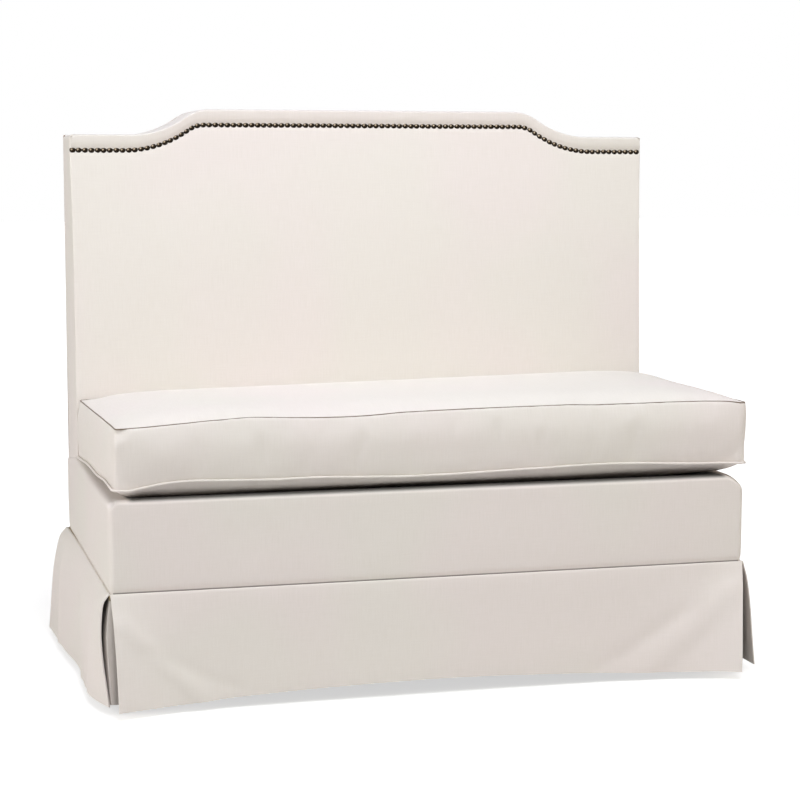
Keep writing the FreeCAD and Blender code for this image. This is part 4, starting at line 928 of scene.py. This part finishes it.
def shape_cushion(spot, normal):
    """Lifts the two panels off their seams and rolls the boxing out between them."""
    share = ROWS[round(spot.z * (len(ROWS) - 1))]
    x, y = tightened(spot.x, PANEL_X), tightened(spot.y, PANEL_Y)
    side_gap, end_gap = PANEL_X - abs(x), PANEL_Y - abs(y)
    across, deep = x / PANEL_X, y / PANEL_Y
    new_x, new_y, out = rounded(x, y)
    step = edge_out(share, across, deep)
    place_x, place_y = CUSHION_MIDDLE.x + new_x, CUSHION_MIDDLE.y + new_y
    low = seam_height(LOW_SEAM, LOW_LINES, place_x, place_y)
    high = seam_height(HIGH_SEAM, HIGH_LINES, place_x, place_y)
    z = low + (high - low) * share
    if share == 1:
        z += CROWN * rise_from(side_gap, CROWN_REACH_X) * rise_from(end_gap, CROWN_REACH_Y)
    elif share == 0:
        front_part = math.exp(-(PANEL_Y + y) / BELLY_FADE)
        belly = SIDE_BELLY + (along(BELLY, across) - SIDE_BELLY) * front_part
        belly = min(belly, low - DECK_TOP - BELLY_CLEAR)
        roll = rise_from(side_gap, BELLY_ROLL) * rise_from(end_gap, BELLY_ROLL)
        settle = smooth_step(0, BELLY_REACH, side_gap) * smooth_step(0, BELLY_REACH, end_gap)
        z = DECK_TOP + DECK_GAP + (low - DECK_TOP - belly) * (1 - roll) + belly * (1 - settle)
    else:
        step += boxing_out(high - z, z - low, x, y)
    return Vector((place_x + out.x * step, place_y + out.y * step, z))


moved(cushion, shape_cushion)


def settle_cushion():
    """Lets the cover fill out and wrinkle in a short cloth simulation, with both seams held."""
    held = cushion.vertex_groups.new(name="seams")
    before = [point.co.copy() for point in cushion.data.vertices]
    for number, spot in enumerate(before):
        high = seam_height(HIGH_SEAM, HIGH_LINES, spot.x, spot.y)
        low = seam_height(LOW_SEAM, LOW_LINES, spot.x, spot.y)
        edge_gap = min(PANEL_X - abs(spot.x - CUSHION_MIDDLE.x),
                       PANEL_Y - abs(spot.y - CUSHION_MIDDLE.y))
        near_seam = min(abs(spot.z - high), abs(spot.z - low)) < 0.0016 and edge_gap < 0.0045
        held.add([number], 1.0 if near_seam else 0.0, "REPLACE")
    pick(cushion)
    modifier = cushion.modifiers.new("cover", "CLOTH")
    settings = modifier.settings
    settings.quality = 6
    settings.mass = 0.3
    settings.tension_stiffness = settings.compression_stiffness = 12
    settings.bending_stiffness = 0.6
    settings.shear_stiffness = 5
    settings.use_pressure = True
    settings.uniform_pressure_force = 3
    settings.shrink_min = -0.006
    settings.vertex_group_mass = "seams"
    settings.pin_stiffness = 5
    settings.effector_weights.gravity = 0
    for number in range(1, COVER_FRAMES + 1):
        bpy.context.scene.frame_set(number)
    bpy.ops.object.modifier_apply(modifier=modifier.name)
    bpy.context.scene.frame_set(1)
    for point, start in zip(cushion.data.vertices, before):
        step = point.co - start
        if step.length > MOST_PUFF:
            step *= MOST_PUFF / step.length
        point.co = start + step
    cushion.vertex_groups.clear()


settle_cushion()
subdivided(cushion, 1)


def clear_of_neighbours(spot, normal):
    """Keeps the cushion above the deck and in front of the back, with its zip's tape lying on the boxing."""
    rear = back_face(spot.z) - 0.0012
    beside = max(TAPE_LOW.x - spot.x, spot.x - TAPE_HIGH.x, TAPE_LOW.z - spot.z, spot.z - TAPE_HIGH.z, 0)
    rear += min(0, TAPE_LOW.y + 0.0002 - rear) * smooth_step(TAPE_EDGE, 0.002, beside)
    return Vector((spot.x, min(spot.y, rear), max(spot.z, deck_top(spot.x, spot.y) + 0.0005)))


moved(cushion, clear_of_neighbours)
lay_pattern(cushion)
cushion.data.materials.append(cloth)
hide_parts("cushion_top_cover", "cushion_bottom_cover", "cushion_boxing", "cushion_foam",
            "cushion_fibre_wrap")
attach(cushion, "seat_cushion")

# Piping: a bias-cut strip of the same cloth round a cord in both seams. The upper one is drawn down into a
# groove between the two rolls, and its cloth is painted dark brown as the groove's shadow; the lower one
# stands free.
WELT_STEP = 0.0045


def seam_loop(level, lines, share, out_by):
    """Points round the cushion on a seam, at the outline's own corners."""
    corners = [Vector((x, y)) for x, y in ((-PANEL_X, -PANEL_Y), (PANEL_X, -PANEL_Y), (PANEL_X, PANEL_Y),
                                           (-PANEL_X, PANEL_Y))]
    points = []
    for number, start in enumerate(corners):
        end = corners[(number + 1) % 4]
        steps = round((end - start).length / WELT_STEP)
        for step in range(steps):
            here = start.lerp(end, step / steps)
            new_x, new_y, out = rounded(here.x, here.y)
            reach = edge_out(share, here.x / PANEL_X, here.y / PANEL_Y) + out_by
            x = CUSHION_MIDDLE.x + new_x + out.x * reach
            y = CUSHION_MIDDLE.y + new_y + out.y * reach
            wobble = 0.0004 * soft_noise(Vector((x, y, level)), 0.05, 4.4)
            points.append(Vector((x, y, seam_height(level, lines, x, y) + wobble)))
    return points


# Painted shade: the upper piping's cloth is darkened all over as the groove's shadow.
piping_painted_shade_cloth = cloth_material("off_white_weave_painted_groove_shade", 45, 0.92)
for name, level, lines, share, out_by, radius, welt_cloth in (
        ("upper_piping", HIGH_SEAM, HIGH_LINES, 1, 0, 0.0012, piping_painted_shade_cloth),
        ("lower_piping", LOW_SEAM, LOW_LINES, 0, 0.0032, 0.0024, bias_cloth)):
    cord = bpy.data.curves.new(name, "CURVE")
    cord.dimensions = "3D"
    cord.bevel_depth = radius
    cord.bevel_resolution = 2
    line = cord.splines.new("POLY")
    loop = seam_loop(level, lines, share, out_by)
    line.points.add(len(loop) - 1)
    for point, spot in zip(line.points, loop):
        point.co = (*spot, 1)
    line.use_cyclic_u = True
    welt = bpy.data.objects.new(name, cord)
    bpy.context.collection.objects.link(welt)
    pick(welt)
    bpy.ops.object.convert(target="MESH")
    welt = bpy.context.active_object
    lay_pattern(welt)
    welt.data.materials.clear()
    welt.data.materials.append(welt_cloth)
    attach(welt, "seat_cushion")
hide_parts("cushion_welts")

# Skirt: four lined panels of the same cloth, sewn to the deck's lower seam, hanging almost to the floor
# and swinging out towards their ends; an inverted pleat with its underlay closes each corner.
SEAM_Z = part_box("skirt_front")[1].z
HEM_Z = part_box("skirt_front")[0].z
SKIRT_CLOTH = 0.0022
SKIRT_STAND_OFF = 0.003
SKIRT_ROWS = 42
SWAY = 0.0016
CREASE = 0.0006
TURNS = {"front": 0, "right": 90, "rear": 180, "left": -90}
FOLD_ROWS = ((-0.0056, 0.0004), (-0.003, 0.0014), (-0.001, 0.0010), (0, -0.0006))
# How far a panel stands out below its seam, at these shares of its drop, in a row for each share of its half
# length. The side panels' rows run from rear to front on the left and from front to rear on the right.
DOWNS = (0, 0.06, 0.15, 0.35, 0.6, 0.8, 1)
FRONT_HANG = ((-1, (0, 0.0045, 0.0105, 0.0235, 0.0345, 0.040, 0.0438)),
              (-0.9, (0, 0.002, 0.0045, 0.0115, 0.0185, 0.0235, 0.0275)),
              (-0.81, (0, 0.0012, 0.0025, 0.005, 0.0085, 0.0115, 0.0145)),
              (-0.63, (0, 0.001, 0.0015, 0.002, 0.0025, 0.0028, 0.003)),
              (-0.2, (0, 0.001, 0.0015, 0.002, 0.0025, 0.0028, 0.003)),
              (0.4, (0, 0.001, 0.0015, 0.002, 0.0025, 0.003, 0.0035)),
              (0.69, (0, 0.001, 0.002, 0.0035, 0.0055, 0.0075, 0.0095)),
              (0.86, (0, 0.0012, 0.0035, 0.010, 0.017, 0.0225, 0.028)),
              (1, (0, 0.0045, 0.0105, 0.0245, 0.037, 0.0455, 0.052)))
FRONT_LIFT = ((-1, 0.002), (-0.8, 0.002), (-0.63, 0.007), (-0.44, 0.0116), (-0.17, 0.0156), (0.07, 0.0158),
              (0.4, 0.0095), (0.69, 0.002), (1, 0.002))
LEFT_HANG = ((-1, (0.004, 0.016, 0.0225, 0.0312, 0.0365, 0.040, 0.0443)),
             (-0.3, (0, 0.006, 0.012, 0.0225, 0.029, 0.032, 0.0343)),
             (0.1, (0, 0.004, 0.008, 0.0155, 0.0205, 0.022, 0.0233)),
             (0.45, (0, 0.004, 0.009, 0.017, 0.022, 0.024, 0.0245)),
             (0.68, (0, 0.005, 0.010, 0.019, 0.0245, 0.0265, 0.027)),
             (0.82, (0, 0.006, 0.011, 0.018, 0.0215, 0.022, 0.0207)),
             (0.95, (0.001, 0.0085, 0.012, 0.0148, 0.0135, 0.0105, 0.008)),
             (1, (0.0015, 0.0095, 0.0130, 0.0152, 0.0120, 0.0072, 0.0018)))
LEFT_LIFT = ((-1, 0), (0, 0.003), (1, 0.002))
RIGHT_HANG = ((-1, (0, 0.0036, 0.009, 0.0155, 0.0205, 0.0245, 0.0293)),
              (-0.6, (0, 0.005, 0.010, 0.017, 0.022, 0.025, 0.028)),
              (0, (0, 0.004, 0.008, 0.015, 0.019, 0.021, 0.022)),
              (0.5, (0, 0.005, 0.010, 0.018, 0.023, 0.026, 0.028)),
              (1, (0.002, 0.012, 0.019, 0.028, 0.034, 0.038, 0.041)))
RIGHT_LIFT = ((-1, 0.001), (0, 0.004), (1, 0.001))


def line_sheet(sheet, width, drop, thickness, offset):
    """Gives a shaped grid its flat pattern in metres, its thickness and its cloth."""
    for loop in sheet.data.loops:
        pattern = sheet.data.uv_layers[0].data[loop.index].uv
        pattern.x *= width
        pattern.y *= drop
    sheet.data.update()
    pick(sheet)
    solid = sheet.modifiers.new("lining", "SOLIDIFY")
    solid.thickness = thickness
    solid.offset = offset
    bpy.ops.object.modifier_apply(modifier=solid.name)
    face_out(sheet)
    sheet.data.materials.append(cloth)


def skirt_sheet(name, half_length, stand_off, hang, lifts, ends_in, side, folds, columns):
    """One panel: a flat grid hung from its folded top edge, swung out and waved by rule, then thickened."""
    drop = SEAM_Z - HEM_Z
    turn = math.radians(TURNS[side])
    panel = new_grid(name, columns, SKIRT_ROWS, 2)
    for point in panel.data.vertices:
        share, row = point.co.x, round((1 - point.co.y) / 2 * SKIRT_ROWS)
        length_here = share * half_length
        down = max(0, row + 1 - len(FOLD_ROWS)) / (SKIRT_ROWS + 1 - len(FOLD_ROWS))
        hang_here = [(DOWNS[number], along([(at, outs[number]) for at, outs in hang], share))
                     for number in range(len(DOWNS))]
        swing = along(hang_here, down)
        out = stand_off + swing
        sway = Vector((length_here, stand_off, down * drop))
        out += down * (SWAY * soft_noise(sway, 0.16, half_length) + CREASE * soft_noise(sway, 0.06, 2.2))
        for start, end, width, high in folds:
            first = Vector((start[0] * half_length, start[1] * drop))
            last = Vector((end[0] * half_length, end[1] * drop))
            fold = fold_share(Vector((length_here, down * drop)), first, last, width)
            out += high * fold * smooth_step(0, 0.2, down)
        z = SEAM_Z - down * (drop - along(lifts, share))
        if row < len(FOLD_ROWS):
            out += FOLD_ROWS[row][0]
            z = SEAM_Z + FOLD_ROWS[row][1]
        end_share = max(0, (abs(share) - 0.75) / 0.25) ** 2
        x = length_here - math.copysign(swing * end_share * (ends_in[0] if share < 0 else ends_in[1]), share)
        point.co = (x * math.cos(turn) + out * math.sin(turn), x * math.sin(turn) - out * math.cos(turn), z)
    line_sheet(panel, 2 * half_length, drop, SKIRT_CLOTH, -1)
    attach(panel, "root")
    return panel


long_half = SEAT_SIDE + 0.0015
short_half = -DECK_FRONT + 0.002
front_off = -DECK_FRONT + SKIRT_STAND_OFF + SKIRT_CLOTH
side_off = SEAT_SIDE + SKIRT_STAND_OFF + SKIRT_CLOTH
# Folds hanging from the seam: start and end as shares of the half length and the drop, width and height.
FRONT_FOLDS = (((-0.97, 0.25), (-0.72, 1.0), 0.016, 0.0035), ((-0.9, 0.5), (-0.64, 0.9), 0.012, -0.0018),
               ((0.97, 0.2), (0.66, 1.0), 0.024, 0.0035), ((0.8, 0.45), (0.52, 0.95), 0.016, -0.002))
SIDE_FOLDS = (((-0.7, 0.1), (-0.5, 1.0), 0.018, 0.003), ((0.1, 0.15), (0.35, 1.0), 0.022, 0.003),
              ((0.75, 0.2), (0.6, 1.0), 0.014, -0.002))
front_skirt = skirt_sheet("front_skirt", long_half, front_off, FRONT_HANG, FRONT_LIFT, (0.18, 0.36), "front",
                          FRONT_FOLDS, 160)
rear_skirt = skirt_sheet("rear_skirt", long_half, front_off, FRONT_HANG, FRONT_LIFT, (0.3, 0.3), "rear",
                         FRONT_FOLDS, 160)
left_skirt = skirt_sheet("left_skirt", short_half, side_off, LEFT_HANG, LEFT_LIFT, (0.6, 0), "left",
                         SIDE_FOLDS, 90)
right_skirt = skirt_sheet("right_skirt", short_half, side_off, RIGHT_HANG, RIGHT_LIFT, (0, 0.4), "right",
                          SIDE_FOLDS, 90)
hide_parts("skirt_front")
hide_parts("skirt_rear")
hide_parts("skirt_left")
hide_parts("skirt_right")

# Pleat underlays: a strip of cloth folded round each corner behind the two panel ends. At the front left it
# stands out with the side panel and shows in the open pleat.
UNDERLAY_REACH = 0.05
UNDERLAY_TOP = SEAM_Z - 0.008
UNDERLAY_SHORT = 0.006
UNDERLAY_OFF_SIDE = 0.0008
UNDERLAY_OFF_FRONT = 0.0009
PLEAT_SHADE = 0.45
DEEP_SHADE = 0.8
# How far the strip's corner stands out down the drop, and how far its end behind a side panel does.
OPEN_PLEAT = ((0, 0.001), (0.08, 0.0035), (0.35, 0.0075), (0.6, 0.0055), (1, 0.0010))
SHUT_PLEAT = ((0, 0.001), (1, 0.003))
BEHIND_PANEL = ((0, 0.002), (0.15, 0.011), (0.35, 0.018), (0.6, 0.021), (0.8, 0.021), (1, 0.019))


def underlay(name, x_side, y_side, corner_out):
    """A strip down one corner: its plan runs behind one panel, to the corner and behind the other."""
    strip = new_grid(name, 32, 20, 2)
    drop = UNDERLAY_TOP - HEM_Z
    for point in strip.data.vertices:
        share, down = point.co.x, (1 - point.co.y) / 2
        corner = along(corner_out, down)
        reach = UNDERLAY_REACH * abs(share)
        fade = math.exp(-(share / 0.5) ** 2) if share < 0 else 1
        behind = max(0, along(BEHIND_PANEL, down) - corner) * max(0, share)
        x = SEAT_SIDE + UNDERLAY_OFF_SIDE + corner * fade + behind - (reach if share < 0 else 0)
        y = -DECK_FRONT + UNDERLAY_OFF_FRONT + 0.25 * corner * fade - (reach if share > 0 else 0)
        point.co = (x_side * x, y_side * y, UNDERLAY_TOP - down * (drop - UNDERLAY_SHORT))
    strip.data.update()
    # Painted shadow: darker towards the hem along the front arm away from the corner fold, and near black
    # behind the side panel.
    lay_shade(strip, lambda spot: PLEAT_SHADE * smooth_step(SEAM_Z + 0.02, HEM_Z, spot.z)
              * smooth_step(SEAT_SIDE + 0.003, SEAT_SIDE - 0.009, abs(spot.x))
              + DEEP_SHADE * smooth_step(DECK_FRONT + 0.002, DECK_FRONT + 0.02, -abs(spot.y)))
    line_sheet(strip, 2 * UNDERLAY_REACH, drop, SKIRT_CLOTH / 2, 0)
    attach(strip, "root")
    return strip


strips = [underlay("pleat_underlay_front_left", -1, -1, OPEN_PLEAT),
          underlay("pleat_underlay_front_right", 1, -1, SHUT_PLEAT),
          underlay("pleat_underlay_rear_left", -1, 1, SHUT_PLEAT),
          underlay("pleat_underlay_rear_right", 1, 1, SHUT_PLEAT)]
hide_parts("skirt_pleats")

# Outside back: one piece of the cloth over hardboard, turned under and pinned tight round its edge.
OUTSIDE_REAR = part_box("outside_back_cover")[1].y
OUTSIDE_WAVE = 0.0007
outside = block_of_cells("outside_back_panel", Vector((-SEAT_SIDE, BACK_REAR, DECK_LOW)),
                         Vector((SEAT_SIDE, OUTSIDE_REAR, SHOULDER)), (62, 1, 44))


def shape_outside(spot, normal):
    """Raises the crest and lets the tight cloth wave a little on its board."""
    raised = smooth_step(RAISE_FROM, SHOULDER, spot.z)
    z = spot.z + raised * (crest_height(spot.x) - SHOULDER)
    edge = min(SEAT_SIDE - abs(spot.x), crest_height(spot.x) - z)
    y = spot.y
    if normal.y > 0.5:
        wave = soft_noise(Vector((spot.x, 0, z)), 0.2, 9.1)
        y += OUTSIDE_WAVE * wave - OUTSIDE_WAVE * (1 - smooth_step(0, 0.012, edge))
    return Vector((swelled(spot.x, z), y, z))


subdivided(outside, 1, "SIMPLE")
moved(outside, shape_outside)
lay_pattern(outside)
bpy.ops.object.shade_smooth_by_angle(angle=math.radians(40))
outside.data.materials.append(cloth)
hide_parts("outside_back_cover")
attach(outside, "root")

# Hidden frame, springs, legs and fittings: the frame's own pieces, each with the finish that it has.
grain, grain_in, grain_out = group_tree(
    "wood_grain", [("Vector", "NodeSocketVector")],
    [("Figure", "NodeSocketFloat"), ("Pores", "NodeSocketFloat")])
feed(grain_out, "Figure", stretched_noise(grain, grain_in.outputs["Vector"], (5, 60, 60), 4))
feed(grain_out, "Pores", stretched_noise(grain, grain_in.outputs["Vector"], (40, 900, 900), 2))


def wood_material(name, colour, deep, turn, roughness):
    """Wood whose grain runs along X, or is turned to run up or along Y."""
    material, tree, shader = new_material(name)
    coordinates = new_node(tree, "TexCoord")
    mapping = new_node(tree, "Mapping")
    feed(mapping, "Rotation", tuple(math.radians(angle) for angle in turn))
    feed(mapping, "Vector", coordinates.outputs["Object"])
    figure = new_node(tree, "Group")
    figure.node_tree = grain
    feed(figure, "Vector", mapping.outputs[0])
    share = spread(tree, figure.outputs["Figure"], 0.35, 0.65)
    feed(shader, "Base Color", colour_mix(tree, share, colour, deep))
    gloss = spread(tree, figure.outputs["Pores"], 0.3, 0.7, roughness - 0.1, roughness + 0.1)
    feed(shader, "Roughness", gloss)
    bumped(shader, figure.outputs["Pores"], 0.3, 0.0003)
    return material


PINE = ((0.62, 0.42, 0.23, 1), (0.45, 0.27, 0.13, 1))
CORNERS = ("front_left", "front_right", "rear_left", "rear_right")
for finish, names in (
        (wood_material("rail_pine", *PINE, (0, 0, 0), 0.6),
         ["front_rail", "rear_rail", "spring_rail", "seat_stretchers", "corner_blocks", "back_cross_rail",
          "nailing_strip"]),
        (wood_material("upright_pine", *PINE, (0, 90, 0), 0.6), ["back_posts", "crest_ribs"]),
        (wood_material("birch_plywood", (0.66, 0.49, 0.3, 1), (0.52, 0.36, 0.2, 1), (0, 90, 0), 0.55),
         ["left_side_panel", "right_side_panel", "rear_crest_board", "crest_top_strip", "inside_back_board"]),
        (wood_material("stained_beech", (0.045, 0.022, 0.011, 1), (0.018, 0.009, 0.005, 1), (0, 90, 0), 0.38),
         ["leg_" + corner for corner in CORNERS]),
        (solid_material("hardboard", (0.2, 0.11, 0.055, 1), (0.15, 0.08, 0.04, 1), 0.02, (0.6, 0.8)),
         ["outside_back_board"]),
        (solid_material("grey_felt", (0.16, 0.155, 0.15, 1), (0.3, 0.29, 0.28, 1), 0.01, (0.9, 1.0),
                        bump_height=0.001),
         ["spring_insulator"]),
        (solid_material("black_dust_cloth", (0.012, 0.012, 0.012, 1), (0.03, 0.03, 0.03, 1), 0.006,
                        (0.85, 1.0), bump_height=0.0005),
         ["dust_cover"]),
        (solid_material("oiled_spring_steel", (0.12, 0.12, 0.125, 1), (0.07, 0.06, 0.055, 1), 0.02,
                        (0.3, 0.5), metallic=1.0),
         ["seat_springs", "spring_clips"]),
        (solid_material("zinc_plate", (0.55, 0.55, 0.53, 1), (0.42, 0.42, 0.4, 1), 0.008, (0.25, 0.42),
                        metallic=1.0),
         ["frame_screws", "leg_bolts", "leg_bolt_nuts", "glide_sockets",
          *("glide_stem_" + corner for corner in CORNERS)]),
        (solid_material("black_glide_plastic", (0.02, 0.02, 0.02, 1), (0.035, 0.035, 0.035, 1), 0.01,
                        (0.4, 0.6)),
         ["glide_pad_" + corner for corner in CORNERS]),
        (solid_material("tack_board", (0.4, 0.32, 0.2, 1), (0.32, 0.25, 0.16, 1), 0.01, (0.8, 0.95)),
         ["skirt_tack_strip"]),
        (solid_material("zip_tape_cloth", (0.74, 0.69, 0.61, 1), (0.66, 0.6, 0.52, 1), 0.003, (0.85, 1.0)),
         ["zip_tape"]),
        (solid_material("zip_nylon", (0.76, 0.71, 0.63, 1), (0.66, 0.6, 0.52, 1), 0.004, (0.35, 0.5)),
         ["zip_chain"]),
        (solid_material("zip_metal", (0.5, 0.49, 0.47, 1), (0.38, 0.37, 0.35, 1), 0.004, (0.25, 0.4),
                        metallic=1.0),
         ["zip_slider", "zip_pull"])):
    for name in names:
        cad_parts[name].material_slots[0].material = finish
